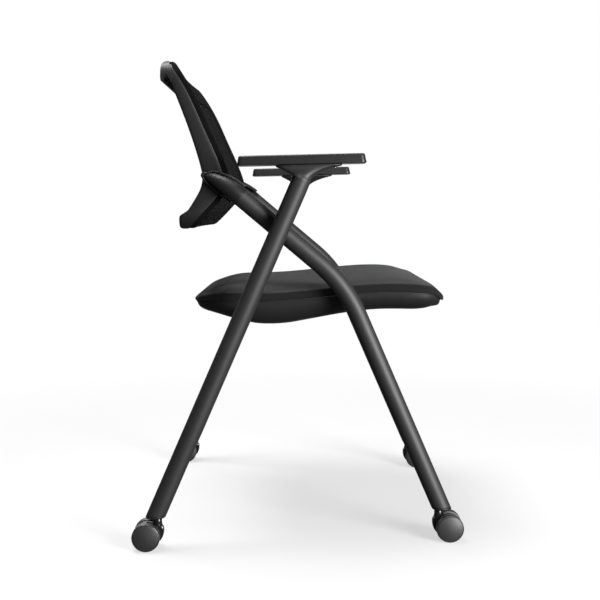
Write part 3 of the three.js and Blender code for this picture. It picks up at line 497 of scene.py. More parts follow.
def loft(rings, joined=False, capped=True):
    """A skin pulled over a stack of rings. A joined one runs back to its first ring."""
    mesh = bmesh.new()
    start = bmesh.ops.create_circle(mesh, segments=len(rings[0]), radius=1)["verts"]
    for vert, point in zip(start, rings[0]):
        vert.co = point
    order = {vert: i for i, vert in enumerate(start)}
    edges = list(mesh.edges)
    first = list(edges)
    for points in rings[1:] + ([rings[0]] if joined else []):
        grown = bmesh.ops.extrude_edge_only(mesh, edges=edges)["geom"]
        placed = {}
        for vert in (g for g in grown if isinstance(g, bmesh.types.BMVert)):
            old = next(e.other_vert(vert) for e in vert.link_edges if e.other_vert(vert) in order)
            placed[vert] = order[old]
            vert.co = points[order[old]]
        edges = [g for g in grown if isinstance(g, bmesh.types.BMEdge)
                 and g.verts[0] in placed and g.verts[1] in placed]
        order = placed
    if joined:
        bmesh.ops.remove_doubles(mesh, verts=mesh.verts, dist=SAME_POINT)
    elif capped:
        bmesh.ops.edgeloop_fill(mesh, edges=first)
        bmesh.ops.edgeloop_fill(mesh, edges=edges)
    bmesh.ops.recalc_face_normals(mesh, faces=mesh.faces)
    return mesh


def turned(middle, axis, profile, count=64):
    """A solid turned about an axis, from (distance along it, radius) pairs."""
    axis = axis.normalized()
    along = axis.orthogonal().normalized()
    across = axis.cross(along)
    rings = [ring(middle + axis * place, along, across, radius, radius, count)
             for place, radius in profile]
    return loft(rings)


def add_piece(name, mesh, body, slot, replaced=(), material=None):
    """Makes a piece from a mesh, parented to its body, and hides the CAD nodes it stands for. It has its
    slot's material, or one of its own."""
    data = bpy.data.meshes.new(name)
    mesh.to_mesh(data)
    mesh.free()
    data.shade_smooth()
    data.set_sharp_from_angle(angle=SHARP_ANGLE)
    data.materials.append(material or slot_materials[slot])
    piece = bpy.data.objects.new(name, data)
    bpy.context.scene.collection.objects.link(piece)
    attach(piece, body)
    if replaced:
        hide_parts(*replaced)
    return piece


def read_table(rows, place):
    """A smooth value from rows of (place, value) in rising order."""
    if place <= rows[0][0]:
        return rows[0][1]
    if place >= rows[-1][0]:
        return rows[-1][1]
    i = next(k for k, row in enumerate(rows) if row[0] > place)
    (p1, v1), (p2, v2) = rows[i - 1], rows[i]
    p0, v0 = rows[max(i - 2, 0)]
    p3, v3 = rows[min(i + 1, len(rows) - 1)]
    step = p2 - p1
    slope_in = (v2 - v0) / (p2 - p0) if p2 > p0 else 0
    slope_out = (v3 - v1) / (p3 - p1) if p3 > p1 else 0
    t = (place - p1) / step
    return (v1 * (2 * t ** 3 - 3 * t ** 2 + 1) + slope_in * step * (t ** 3 - 2 * t ** 2 + t)
            + v2 * (3 * t ** 2 - 2 * t ** 3) + slope_out * step * (t ** 3 - t ** 2))


def lerp(low, high, share):
    return low + (high - low) * share


def box_middle(node):
    """The middle of a CAD node's box."""
    low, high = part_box(node)
    return (Vector(low) + Vector(high)) / 2


def smooth_step(value, low, high):
    t = min(max((value - low) / (high - low), 0), 1)
    return t * t * (3 - 2 * t)


# Legs

def rear_leg_at(height, side):
    rise = height - FOOT_HEIGHT
    return Vector((-REAR_FOOT_REACH + rise * LEAN_SLOPE,
                   side * (REAR_FOOT_Y - rise * SPLAY_SLOPE), height))


def front_leg_at(height, side):
    rise = height - FOOT_HEIGHT
    return Vector((FRONT_FOOT_REACH - rise * LEAN_SLOPE, side * FRONT_LEG_Y, height))


def back_tube_at(distance, side):
    return Vector((BEND_X, side * FRONT_LEG_Y, BEND_HEIGHT)) + UP_TUBE * distance


def tube_ring(middle, direction, radius=TUBE_RADIUS):
    across = (ACROSS - direction * ACROSS.dot(direction)).normalized()
    return ring(middle, direction.cross(across), across, radius, radius, TUBE_SEGMENTS)


def cut_foot(mesh):
    """Cuts a leg level with the floor at its foot."""
    whole = list(mesh.verts) + list(mesh.edges) + list(mesh.faces)
    cut = bmesh.ops.bisect_plane(
        mesh, geom=whole, plane_co=(0, 0, FOOT_HEIGHT), plane_no=UP, clear_inner=True)
    edges = [g for g in cut["geom_cut"] if isinstance(g, bmesh.types.BMEdge)]
    bmesh.ops.edgeloop_fill(mesh, edges=edges)
    bmesh.ops.recalc_face_normals(mesh, faces=mesh.faces)
    return mesh


def rear_leg(side):
    low = rear_leg_at(FOOT_HEIGHT - 2 * TUBE_RADIUS, side)
    high = rear_leg_at(REAR_LEG_TOP, side)
    direction = (high - low).normalized()
    return cut_foot(loft([tube_ring(low, direction), tube_ring(high, direction)]))


def front_leg(side):
    """One tube: up from the foot, round its bend, and up to the back."""
    turn = math.radians(90) - LEG_LEAN - BACK_TUBE_RISE
    tangent = BEND_RADIUS * math.tan(turn / 2)
    start = back_tube_at(tangent, side)
    centre = start - OVER_TUBE * BEND_RADIUS
    rings = [tube_ring(back_tube_at(BACK_TUBE_LENGTH, side), UP_TUBE)]
    for i in range(BEND_STEPS + 1):
        angle = math.radians(90) - BACK_TUBE_RISE - turn * i / BEND_STEPS
        outward = Vector((math.cos(angle), 0, math.sin(angle)))
        direction = Vector((-math.sin(angle), 0, math.cos(angle)))
        rings.append(tube_ring(centre + outward * BEND_RADIUS, direction))
    leg = Vector((-math.sin(LEG_LEAN), 0, math.cos(LEG_LEAN)))
    rings.append(tube_ring(front_leg_at(FOOT_HEIGHT - 2 * TUBE_RADIUS, side), leg))
    return cut_foot(loft(rings))


def foot_lip(leg_at, side):
    """The lip of a leg's end plug: level, with rounded edges."""
    half = TUBE_RADIUS / math.cos(LEG_LEAN)
    rings = []
    for rise, share in LIP_SIDE:
        middle = leg_at(LIP_BOTTOM + rise, side)
        rings.append(ring(middle, FORWARD, ACROSS, half * share, TUBE_RADIUS * share, TUBE_SEGMENTS))
    return loft(rings)


def weld(middle):
    """A small rippled weld bead round the end of a bar."""
    along = ACROSS.orthogonal().normalized()
    across = ACROSS.cross(along)
    radius = BAR_RADIUS + WELD_PROUD
    rings = []
    for i in range(WELD_STEPS):
        angle = 2 * math.pi * i / WELD_STEPS
        outward = along * math.cos(angle) + across * math.sin(angle)
        thickness = WELD_THICKNESS * (1 + WELD_RIPPLE * math.sin(angle * WELD_RIPPLES))
        rings.append(ring(middle + outward * radius, outward, ACROSS, thickness, thickness, WELD_SIDES))
    return loft(rings, joined=True)


def cross_bar(middle, reach):
    """A round bar across the chair."""
    return turned(middle, ACROSS, [(-reach, BAR_RADIUS), (reach, BAR_RADIUS)], BAR_SEGMENTS)


# Casters

def caster_places():
    """Each caster's name, stem place and the way its stem lies from its axle."""
    for side_name, side in SIDES:
        yield f"{side_name}_rear", Vector((-STEM_X, side * REAR_FOOT_Y, 0)), 1
        yield f"{side_name}_front", Vector((STEM_X, side * FRONT_LEG_Y, 0)), -1


def wheel(axle, outward):
    """One wheel: a rounded tread, a groove round its face and a domed face."""
    inner = WHEEL_SPACING / 2
    rim = inner + WHEEL_WIDTH - WHEEL_DOME
    profile = [(inner + HUB_CHAMFER, HUB_BORE), (inner, HUB_RADIUS)]
    profile += [(inner + along, WHEEL_RADIUS - drop) for along, drop in TREAD_INNER_EDGE]
    profile += [(rim + along, WHEEL_RADIUS - drop) for along, drop in TREAD_OUTER_EDGE]
    face = rim + FACE_STEP
    for i in range(FACE_STEPS):
        share = math.cos(math.radians(90) * i / FACE_STEPS)
        rise = (WHEEL_DOME - FACE_STEP) * (1 - share ** 2)
        profile.append((face + rise, (WHEEL_RADIUS - FACE_INSET) * share))
    profile.append((rim + WHEEL_DOME, FACE_TIP))
    return turned(axle, ACROSS * outward, profile)


def hood_outline(toward):
    """The side view of a caster's hood, round its axle."""
    corners = []
    for i in range(HOOD_ARC_STEPS + 1):
        angle = lerp(*HOOD_ARC, i / HOOD_ARC_STEPS)
        corners.append(Vector((math.cos(angle), 0, math.sin(angle))) * HOOD_RADIUS)
    over, tip, under = (Vector((HOOD_REACH, 0, share * HOOD_RADIUS)) for share in HOOD_NOSE_SHARES)
    toe, heel = (Vector((x, 0, z)) * HOOD_RADIUS for x, z in HOOD_FLOOR_SHARES)
    for start, control, end in ((corners[-1], over, tip), (tip, under, toe)):
        for i in range(1, HOOD_NOSE_STEPS + 1):
            t = i / HOOD_NOSE_STEPS
            corners.append(start * (1 - t) ** 2 + control * 2 * t * (1 - t) + end * t ** 2)
    corners += [toe.lerp(heel, i / HOOD_FLOOR_STEPS) for i in range(1, HOOD_FLOOR_STEPS + 1)]
    return [Vector((corner.x * toward, 0, corner.z)) for corner in corners]


def caster_hood(axle, toward):
    """The hood's web between the wheels, with rounded edges."""
    outline = hood_outline(toward)
    half = HOOD_THICKNESS / 2
    layers = [(along - half, share) for along, share in HOOD_EDGE]
    layers += [(-y, share) for y, share in reversed(layers)]
    return loft([[axle + corner * share + ACROSS * y for corner in outline] for y, share in layers])


def caster_neck(stem):
    """The neck that the stem stands in."""
    top = LIP_BOTTOM - FIT_GAP
    profile = [(top - depth, NECK_RADIUS + swell) for depth, swell in NECK_SIDE]
    return turned(stem, UP, profile, NECK_SEGMENTS)


# Seat

def seat_direction(turn):
    """The way from the seat's middle to its outline, as long as the outline is far."""
    angle = turn + SEAT_TWIST * math.sin(4 * turn)
    along, across = math.cos(angle), math.sin(angle)
    reach = (abs(along) ** SEAT_POWER + abs(across) ** SEAT_POWER) ** (-1 / SEAT_POWER)
    return along * reach, across * reach


def seat_point(turn, share, inset, end_insets):
    """A point at a share of the way to the seat's outline, drawn in all round and at its ends."""
    x, y = seat_direction(turn)
    nose_inset, tail_inset = end_insets
    reach = SEAT_HALF_DEPTH - inset - (nose_inset if x > 0 else tail_inset)
    return (SEAT_MIDDLE_X + share * reach * x, share * (SEAT_HALF_WIDTH - inset) * y)


def along_edge(turn, at_ends, at_sides):
    """A value that changes from one at the seat's nose and tail to another at its sides."""
    return lerp(at_ends, at_sides, abs(seat_direction(turn)[1]) ** SEAT_POWER)


def along_seat(turn, at_nose, at_tail, at_sides):
    """A value that has one size at the seat's nose, another at its tail and a third at its sides."""
    return along_edge(turn, at_nose if math.cos(turn) > 0 else at_tail, at_sides)


def seam_at(x):
    """The height of the seam between cushion and shell."""
    place = (x - SEAT_MIDDLE_X) / SEAT_HALF_DEPTH
    rise = SEAM_RISE * smooth_step(place, *SEAM_RISE_SHARES)
    drop = SEAM_FRONT_DROP * smooth_step(place, *SEAM_FRONT_SHARES)
    nose = SEAM_NOSE_DROP * smooth_step(place, *SEAM_NOSE_SHARES)
    tail = SEAM_TAIL_DROP * smooth_step(-place, *SEAM_TAIL_SHARES)
    return SEAM_HEIGHT + rise - drop - nose - tail


def seat_ring(share, inset, height_at, end_insets):
    """A ring of the seat's outline, at a share of its size and a height over the seam."""
    points = []
    for i in range(SEAT_SEGMENTS):
        turn = 2 * math.pi * i / SEAT_SEGMENTS
        x, y = seat_point(turn, share, inset, end_insets)
        points.append(Vector((x, y, seam_at(x) + height_at(turn, x))))
    return points


def cushion_form(slack):
    """The cushion: its underside, drawn-in wall, shoulder and crown."""
    half = FIT_GAP / 2
    shoulder = CUSHION_SHOULDER - slack
    crown = CUSHION_CROWN - slack

    def layer(share, inset, height_at):
        return seat_ring(share, inset, height_at, CUSHION_END_INSETS)

    def wall_share(turn):
        return along_seat(turn, *CUSHION_WALL_SHARES)

    def wall(rise):
        return lambda turn, x: half + shoulder * wall_share(turn) * rise

    def top(share):
        def height(turn, _):
            power = along_seat(turn, *CUSHION_ROUND_POWERS)
            rise = lerp(math.sqrt(max(1 - share ** power, 0)), 1, wall_share(turn))
            return half + shoulder * rise + crown * (1 - share ** CUSHION_CROWN_POWER)
        return height

    rings = [layer(share, CUSHION_PULL_IN, lambda turn, x: half) for share in CUSHION_UNDER_SHARES]
    rings += [layer(share, CUSHION_PULL_IN, lambda turn, x: half - SEAM_TUCK)
              for share in CUSHION_TUCK_SHARES]
    rings += [layer(1, CUSHION_PULL_IN * pull, wall(rise)) for rise, pull in CUSHION_SIDE_SHARES]
    rings += [layer(share, 0, top(share)) for share in CUSHION_TOP_SHARES]
    return loft(rings)


def settled(piece):
    """Gives a piece the mesh that its modifiers make now, and drops them."""
    graph = bpy.context.evaluated_depsgraph_get()
    data = bpy.data.meshes.new_from_object(piece.evaluated_get(graph))
    piece.modifiers.clear()
    piece.data = data


def filled_skin(data):
    """The places of an evenly meshed copy of the cushion, before and after it is filled."""
    skin = bpy.data.objects.new("filled_skin", data.copy())
    bpy.context.scene.collection.objects.link(skin)
    remesh = skin.modifiers.new("even_cells", "REMESH")
    remesh.mode = "VOXEL"
    remesh.voxel_size = CUSHION_CELL
    settled(skin)
    still = [vert.co.copy() for vert in skin.data.vertices]
    held = skin.vertex_groups.new(name="held")
    seamed = [i for i, place in enumerate(still) if place.z < seam_at(place.x) + CUSHION_CELL / 2]
    held.add(seamed, 1.0, "REPLACE")
    cloth = skin.modifiers.new("filling", "CLOTH")
    for name, value in FILL_SETTINGS.items():
        setattr(cloth.settings, name, value)
    cloth.settings.vertex_group_mass = "held"
    cloth.settings.effector_weights.gravity = 0
    cloth.collision_settings.use_collision = False
    scene = bpy.context.scene
    for step in range(1, FILL_FRAMES + 1):
        scene.frame_set(step)
    settled(skin)
    scene.frame_set(1)
    full = [vert.co.copy() for vert in skin.data.vertices]
    bpy.data.objects.remove(skin)
    return still, full


def fill_cushion(piece):
    """Swells the cushion as its filling pushes it, never down or past the cap, and holds its seam."""
    still, full = filled_skin(piece.data)
    finder = KDTree(len(still))
    for i, place in enumerate(still):
        finder.insert(place, i)
    finder.balance()
    pushes = []
    for start, place in zip(still, full):
        push = place - start
        pushes.append(push * min(1, CUSHION_MOST_PUSH / max(push.length, CUSHION_MOST_PUSH)))
    for vert in piece.data.vertices:
        near = finder.find_n(vert.co, FILL_NEIGHBOURS)
        push = sum((pushes[i] for _, i, _ in near), Vector()) / len(near)
        push.z = max(push.z, 0)
        seam = seam_at(vert.co.x)
        vert.co += push * smooth_step(vert.co.z, seam, seam + CUSHION_SHOULDER / 2)


def shell_hang(turn, share, x):
    """How far the shell hangs below its rim."""
    place = (x - SEAT_MIDDLE_X) / SEAT_HALF_DEPTH
    power = along_edge(turn, SHELL_END_POWER, SHELL_SIDE_POWER)
    return SHELL_DEPTH * read_table(SHELL_DEPTH_SHARES, place) * math.sqrt(max(1 - share ** power, 0))


def seat_shell_form():
    """The moulded cover under the seat, with a thin lip at the seam."""
    rim = -FIT_GAP / 2
    below_lip = 1 - SHELL_LIP / SHELL_DEPTH

    def layer(share, inset, height_at):
        return seat_ring(share, SHELL_INSET + inset, height_at, SHELL_END_INSETS)

    def outer(share):
        return lambda turn, x: rim - SHELL_LIP - shell_hang(turn, share, x) * below_lip

    def lip(drop):
        return lambda turn, x: rim - SHELL_LIP * drop

    def inner(share):
        return lambda turn, x: min(rim, rim + SHELL_WALL - shell_hang(turn, share, x))

    rings = [layer(share, 0, outer(share)) for share in SHELL_OUTSIDE_SHARES]
    rings += [layer(1, inset, lip(drop)) for inset, drop in SHELL_LIP_EDGE]
    rings.append(layer(1, SHELL_WALL, lip(0)))
    rings += [layer(share, SHELL_WALL, inner(share)) for share in SHELL_INSIDE_SHARES]
    return loft(rings)


def rubber_ring(middle):
    """A rubber ring on the front bar, with rounded edges."""
    half = BUMPER_LENGTH / 2
    side = [(along - half, BUMPER_RADIUS - drop) for along, drop in BUMPER_EDGE]
    side += [(-place, radius) for place, radius in reversed(side)]
    bore = BAR_RADIUS + BUMPER_BORE_GAP
    return turned(middle, ACROSS, [(-half, bore), *side, (half, bore)], BAR_SEGMENTS)


# Back

# The side view of the back: its front line and the rear of its frame, as shares of its height and
# its depth.
FACE_SHARES = [
    (-0.01, 0.423), (0, 0.423), (0.101, 0.66), (0.175, 0.84), (0.222, 0.93), (0.262, 0.982),
    (0.302, 0.982), (0.35, 0.955), (0.439, 0.868), (0.603, 0.673), (0.811, 0.42), (1, 0.122),
    (1.01, 0.11)]
REAR_SHARES = [
    (0, 0.262), (0.006, 0.254), (0.04, 0.258), (0.072, 0.268), (0.085, 0.29), (0.1, 0.355),
    (0.115, 0.41), (0.14, 0.455), (0.186, 0.53), (0.24, 0.606), (0.29, 0.636), (0.34, 0.628),
    (0.454, 0.549), (0.61, 0.414), (0.811, 0.213), (0.87, 0.15), (0.91, 0.115), (0.95, 0.07), (1, 0.05)]
# The hooked grip along the top, from its root under the rail, round its lip and over the top.
GRIP_SHARES = [
    (0.17, 0.86), (0.142, 0.887), (0.122, 0.906), (0.1, 0.914), (0.078, 0.911), (0.06, 0.898),
    (0.05, 0.882), (0.04, 0.871), (0.022, 0.867), (0.006, 0.874), (0, 0.893), (0, 0.93),
    (0.003, 0.957), (0.015, 0.977), (0.04, 0.99), (0.07, 0.997), (0.1, 1), (0.135, 1)]
GRIP_ROOT_SHARES = [(0.19, 0.97), (0.2, 0.9)]
GRIP_CURVE_STEPS = 3
GRIP_STEPS = 40
GRIP_MERGE = 0.00002
# The top of the frame, as shares of its depth from its rear and of its height.
FRAME_TOP_SHARES = [(0, 0.955), (0.015, 0.975), (0.04, 0.988), (0.09, 0.9985), (0.14, 1), (1, 1)]
# The sections of the frame and of the mesh's carrier, in the terms of swept_frame.
FRAME_INSET = 0.0005
FRAME_SECTION = [
    (0.0034, None, 0, 0, 0), (0.0016, None, 0, 0.0005, 0), (0.0006, None, 0, 0.0014, 0),
    (0.0001, None, 0, 0.0028, 0), (-0.0003, None, 0.25, 0, 0), (-0.0005, None, 0.5, 0, 0),
    (-0.0003, None, 0.75, 0, 0), (0.0001, None, 1, 0, 0.0036), (0.0008, None, 1, 0, 0.0016),
    (0.0020, None, 1, 0, 0.0005), (0.0036, None, 1, 0, 0), (0.0085, None, 1, 0, 0),
    (None, 0.0085, 1, 0, 0), (None, 0.0036, 1, 0, 0), (None, 0.0020, 1, 0, 0.0005),
    (None, 0.0008, 1, 0, 0.0016), (None, 0, 1, 0, 0.0036), (None, 0, 0.5, 0, 0),
    (None, 0, 0, 0.001, 0), (None, 0.001, 0, 0, 0), (None, 0.0085, 0, 0, 0)]
CARRIER_INSET = 0.0012
CARRIER_SECTION = [
    (0.0042, None, 0, 0, 0), (0.0022, None, 0, 0.0006, 0), (0.0008, None, 0, 0.0020, 0),
    (0, None, 0, 0.0042, 0), (0, None, 0.6, 0, 0), (0, None, 1, 0, 0.0006), (0.0006, None, 1, 0, 0),
    (0.008, None, 1, 0, 0), (None, 0.0006, 1, 0, 0), (None, 0, 1, 0, 0.0006), (None, 0, 0.5, 0, 0),
    (None, 0, 0, 0.0036, 0), (None, 0.0008, 0, 0.0016, 0), (None, 0.0020, 0, 0.0004, 0),
    (None, 0.0038, 0, 0, 0), (None, 0.009, 0, 0, 0)]
MOST_SET_BACK_SHARE = 0.4
CORNER_STEPS = 18
SIDE_STEPS = (64, 34)
THINNEST = 0.0022


def face_at(height):
    place = (height - BACK_BOTTOM) / BACK_HEIGHT
    return BACK_REAR_X + BACK_DEPTH * read_table(FACE_SHARES, place)


def face_point(y, height, forward):
    """A point of the back's hollowed face, moved forward by a distance."""
    place = min(max((height - BACK_BOTTOM) / BACK_HEIGHT, 0), 1)
    hollow = BACK_HOLLOW * lerp(math.sin(math.pi * place), 1, TOP_HOLLOW_SHARE)
    return Vector((face_at(height) + forward - hollow * (1 - (y / BACK_HALF_WIDTH) ** 2), y, height))


def rear_at(height):
    return BACK_REAR_X + BACK_DEPTH * read_table(REAR_SHARES, (height - BACK_BOTTOM) / BACK_HEIGHT)


def rounded_path(half_width, low, high, radius):
    """Points round a rounded rectangle in the plane across the chair, as (y, height) pairs."""
    corners = []
    for k, (across, upward) in enumerate(((1, 1), (-1, 1), (-1, -1), (1, -1))):
        middle = (across * (half_width - radius), high - radius if upward > 0 else low + radius)
        angles = [math.radians(90 * (k + i / CORNER_STEPS)) for i in range(CORNER_STEPS + 1)]
        corners.append([(middle[0] + radius * math.cos(a), middle[1] + radius * math.sin(a))
                        for a in angles])
    points = []
    for k, corner in enumerate(corners):
        points += corner
        following = corners[(k + 1) % 4][0]
        steps = SIDE_STEPS[k % 2]
        for i in range(1, steps):
            points.append((lerp(corner[-1][0], following[0], i / steps),
                           lerp(corner[-1][1], following[1], i / steps)))
    return points


def back_stations(outer_inset, window_inset):
    """Matching points of the back's outline and of its window."""
    outline = rounded_path(BACK_HALF_WIDTH - outer_inset, BACK_BOTTOM + outer_inset,
                           BACK_BOTTOM + BACK_HEIGHT - outer_inset, BACK_CORNER - outer_inset)
    window = rounded_path(BACK_HALF_WIDTH - SIDE_MEMBER - window_inset,
                          BACK_BOTTOM + BOTTOM_RAIL + window_inset,
                          BACK_BOTTOM + BACK_HEIGHT - TOP_RAIL - window_inset, WINDOW_CORNER)
    return list(zip(outline, window))


def outline_top(y):
    """The height of the back's outline at a distance from the chair's middle."""
    past = min(max(abs(y) - (BACK_HALF_WIDTH - BACK_CORNER), 0), BACK_CORNER)
    return BACK_BOTTOM + BACK_HEIGHT - BACK_CORNER + math.sqrt(BACK_CORNER ** 2 - past ** 2)


def swept_frame(stations, front, rear, section):
    """A ring swept round the back. The section's points are (inset from the outline, inset from
    the window, depth, set back from the front, set forward from the rear); a depth runs from 0
    at the front to 1 at the rear, and one of the two insets is None."""
    rings = []
    for outline, window in stations:
        width = math.dist(outline, window)
        ring_points = []
        for from_outline, from_window, depth, back, forth in section:
            share = from_outline / width if from_window is None else 1 - from_window / width
            y = lerp(outline[0], window[0], share)
            height = lerp(outline[1], window[1], share)
            front_x = front(y, height)
            rear_x = min(rear(y, height), front_x - THINNEST)
            room = (front_x - rear_x) * MOST_SET_BACK_SHARE
            x = lerp(front_x - min(back, room), rear_x + min(forth, room), depth)
            ring_points.append(Vector((x, y, height)))
        rings.append(ring_points)
    return loft(rings, joined=True)


def back_frame_form():
    """The moulded outer frame: a slightly crowned outer wall with rounded edges."""
    mesh = swept_frame(back_stations(FRAME_INSET, 0), lambda y, height: face_point(y, height, 0).x,
                       lambda y, height: rear_at(height), FRAME_SECTION)
    for vert in mesh.verts:
        place = (vert.co.x - BACK_REAR_X) / BACK_DEPTH
        vert.co.z = min(vert.co.z, BACK_BOTTOM + BACK_HEIGHT * read_table(FRAME_TOP_SHARES, place))
    return mesh


def smooth_curve(points, steps):
    """A smooth open curve through points, with some steps between each two."""
    curve = []
    last = len(points) - 1
    for i in range(last):
        before, a, b, after = (Vector(points[min(max(k, 0), last)]) for k in range(i - 1, i + 3))
        for step in range(steps):
            t = step / steps
            curve.append(0.5 * (2 * a + (b - before) * t + (2 * before - 5 * a + 4 * b - after) * t ** 2
                                + (3 * a - before - 3 * b + after) * t ** 3))
    curve.append(Vector(points[-1]))
    return curve


def back_grip():
    """The hooked lip along the top of the back, rounded off at both ends with the outline."""
    section = smooth_curve(GRIP_SHARES, GRIP_CURVE_STEPS)
    section += [Vector(share) for share in GRIP_ROOT_SHARES]
    straight = BACK_HALF_WIDTH - BACK_CORNER
    places = [-straight - BACK_CORNER * math.sin(math.radians(90 * i / CORNER_STEPS))
              for i in range(CORNER_STEPS, 0, -1)]
    places += [lerp(-straight, straight, i / GRIP_STEPS) for i in range(GRIP_STEPS + 1)]
    places += [-place for place in reversed(places[:CORNER_STEPS])]
    rings = []
    for y in places:
        points = []
        for share in section:
            height = min(BACK_BOTTOM + BACK_HEIGHT * share.y, outline_top(y))
            x = min(BACK_REAR_X + BACK_DEPTH * share.x, face_point(y, height, -FIT_GAP).x)
            points.append(Vector((x, y, height)))
        rings.append(points)
    mesh = loft(rings)
    bmesh.ops.remove_doubles(mesh, verts=mesh.verts, dist=GRIP_MERGE)
    bmesh.ops.recalc_face_normals(mesh, faces=mesh.faces)
    return mesh


def mesh_carrier_form():
    """The inner frame with the net pulled round its rounded edges."""
    return swept_frame(back_stations(CARRIER_INSET, CARRIER_LIP),
                       lambda y, height: face_point(y, height, CARRIER_DEPTH).x,
                       lambda y, height: face_point(y, height, -CARRIER_SEAT).x, CARRIER_SECTION)


def back_net_form():
    """The stretched net: real threads with open holes, its edge tucked into the carrier."""
    half = BACK_HALF_WIDTH - SIDE_MEMBER - CARRIER_LIP + NET_TUCK
    low = BACK_BOTTOM + BOTTOM_RAIL + CARRIER_LIP - NET_TUCK
    high = BACK_BOTTOM + BACK_HEIGHT - TOP_RAIL - CARRIER_LIP + NET_TUCK
    middle_height = (low + high) / 2
    columns = round(2 * half / NET_PITCH)
    rows = round((high - low) * FACE_CURVE_SHARE / NET_PITCH)
    mesh = bmesh.new()
    bmesh.ops.create_grid(mesh, x_segments=columns, y_segments=rows, size=1)
    flat_height = rows * 2 * half / columns
    for vert in mesh.verts:
        vert.co = Vector((vert.co.x * half, vert.co.y * flat_height / 2, 0))
    holes = bmesh.ops.inset_individual(mesh, faces=mesh.faces, thickness=NET_THREAD / 2)
    outer = set(holes["faces"])
    bmesh.ops.delete(mesh, geom=[face for face in mesh.faces if face not in outer], context="FACES")
    # The net's own map is its flat shape.
    layer = mesh.loops.layers.uv.new("net")
    for face in mesh.faces:
        for corner in face.loops:
            corner[layer].uv = corner.vert.co.xy
    for vert in mesh.verts:
        height = middle_height + vert.co.y * (high - low) / flat_height
        vert.co = face_point(-vert.co.x, height, CARRIER_DEPTH - MESH_INSET)
    whole = list(mesh.verts) + list(mesh.edges) + list(mesh.faces)
    bmesh.ops.recalc_face_normals(mesh, faces=mesh.faces)
    bmesh.ops.solidify(mesh, geom=whole, thickness=NET_THICKNESS)
    bmesh.ops.recalc_face_normals(mesh, faces=mesh.faces)
    return mesh, (2 * half, flat_height)


def connector_middle(side, share):
    middle = back_tube_at(BACK_TUBE_LENGTH + FIT_GAP + CONNECTOR_LENGTH * share, side)
    shrink = CONNECTOR_RADIUS * (1 - read_table(CONNECTOR_SHARES, share))
    return middle - OVER_TUBE * shrink * CONNECTOR_DROP_SHARE - ACROSS * side * shrink


def back_connector(side):
    """The end piece of a back tube, tapering down and in to a rounded tip."""
    def round_at(middle, radius):
        return ring(middle, OVER_TUBE, ACROSS, radius, radius, TUBE_SEGMENTS)

    start = connector_middle(side, 0)
    rings = [round_at(start + UP_TUBE * lead, CONNECTOR_RADIUS - inset)
             for lead, inset in CONNECTOR_START_EDGE]
    for i in range(1, CONNECTOR_STEPS + 1):
        share = i / CONNECTOR_STEPS
        radius = CONNECTOR_RADIUS * read_table(CONNECTOR_SHARES, share)
        rings.append(round_at(connector_middle(side, share), radius))
    tip = connector_middle(side, 1)
    radius = CONNECTOR_RADIUS * CONNECTOR_SHARES[-1][1]
    for turn in CONNECTOR_TIP_ANGLES:
        lift = UP_TUBE * radius * CONNECTOR_TIP_SHARE * math.sin(turn)
        rings.append(round_at(tip + lift, radius * math.cos(turn)))
    return loft(rings)


def rim_path(side, extra):
    """The line round an end piece made fatter, where the rim's top cuts it, round its tip."""
    y = side * (BACK_HALF_WIDTH + RIM_HEIGHT)
    upper, lower = [], []
    last = None
    for i in range(RIM_PATH_STEPS + 1):
        share = lerp(RIM_START_SHARE, 1, i / RIM_PATH_STEPS)
        middle = connector_middle(side, share)
        radius = CONNECTOR_RADIUS * read_table(CONNECTOR_SHARES, share) + extra
        off = y - middle.y
        if abs(off) >= radius:
            break
        chord = math.sqrt(radius ** 2 - off ** 2)
        middle.y = y
        upper.append(middle + OVER_TUBE * chord)
        lower.append(middle - OVER_TUBE * chord)
        last = (middle, chord)
    middle, chord = last
    turn_points = []
    for i in range(1, RIM_TURN_STEPS):
        angle = math.radians(180) * i / RIM_TURN_STEPS
        way = OVER_TUBE * math.cos(angle) + UP_TUBE * math.sin(angle)
        turn_points.append(middle + way * chord)
    return upper + turn_points + lower[::-1]


def evenly(points, count):
    """Points spaced evenly along a line of points."""
    lengths = [0]
    for a, b in zip(points, points[1:]):
        lengths.append(lengths[-1] + (b - a).length)
    spaced = []
    k = 0
    for i in range(count):
        target = lengths[-1] * i / (count - 1)
        while k < len(points) - 2 and lengths[k + 1] < target:
            k += 1
        span = max(lengths[k + 1] - lengths[k], TINY)
        spaced.append(points[k].lerp(points[k + 1], min((target - lengths[k]) / span, 1)))
    return spaced


def back_rim(side):
    """The raised rim of the back's frame round an end piece, with a groove inside it."""
    root = BACK_HALF_WIDTH - RIM_ROOT
    top = BACK_HALF_WIDTH + RIM_HEIGHT
    shoulder = top - RIM_SHOULDER
    foot = RIM_WIDTH + RIM_FOOT
    layers = [(root, foot), (BACK_HALF_WIDTH + RIM_FOOT_HEIGHT, foot), (shoulder, RIM_WIDTH)]
    middle = (RIM_WIDTH + CONNECTOR_GROOVE) / 2
    half = (RIM_WIDTH - CONNECTOR_GROOVE) / 2
    for i in range(1, RIM_TURN_STEPS):
        angle = math.radians(180) * i / RIM_TURN_STEPS
        layers.append((top - RIM_ROUND * (1 - math.sin(angle)), middle + half * math.cos(angle)))
    layers += [(shoulder, CONNECTOR_GROOVE), (root, CONNECTOR_GROOVE)]
    lines = []
    for y, extra in layers:
        line = evenly(rim_path(side, extra), RIM_STEPS)
        lines.append([Vector((point.x, side * y, point.z)) for point in line])
    return loft([list(points) for points in zip(*lines)])


# Arms

# The arm bracket from the leg up, in even steps: how far it has come to the plate's side, how far its
# rear and its front have spread, and how square it is.
FLARE_ROWS = [
    (0, 0, 0, 2), (0.22, 0.17, 0.08, 2.2), (0.5, 0.4, 0.3, 2.6), (0.74, 0.66, 0.56, 3.2), (1, 1, 1, 4.5)]
FLARE_BENDS = (0.9, 0.42)
FLARE_STEPS = 22
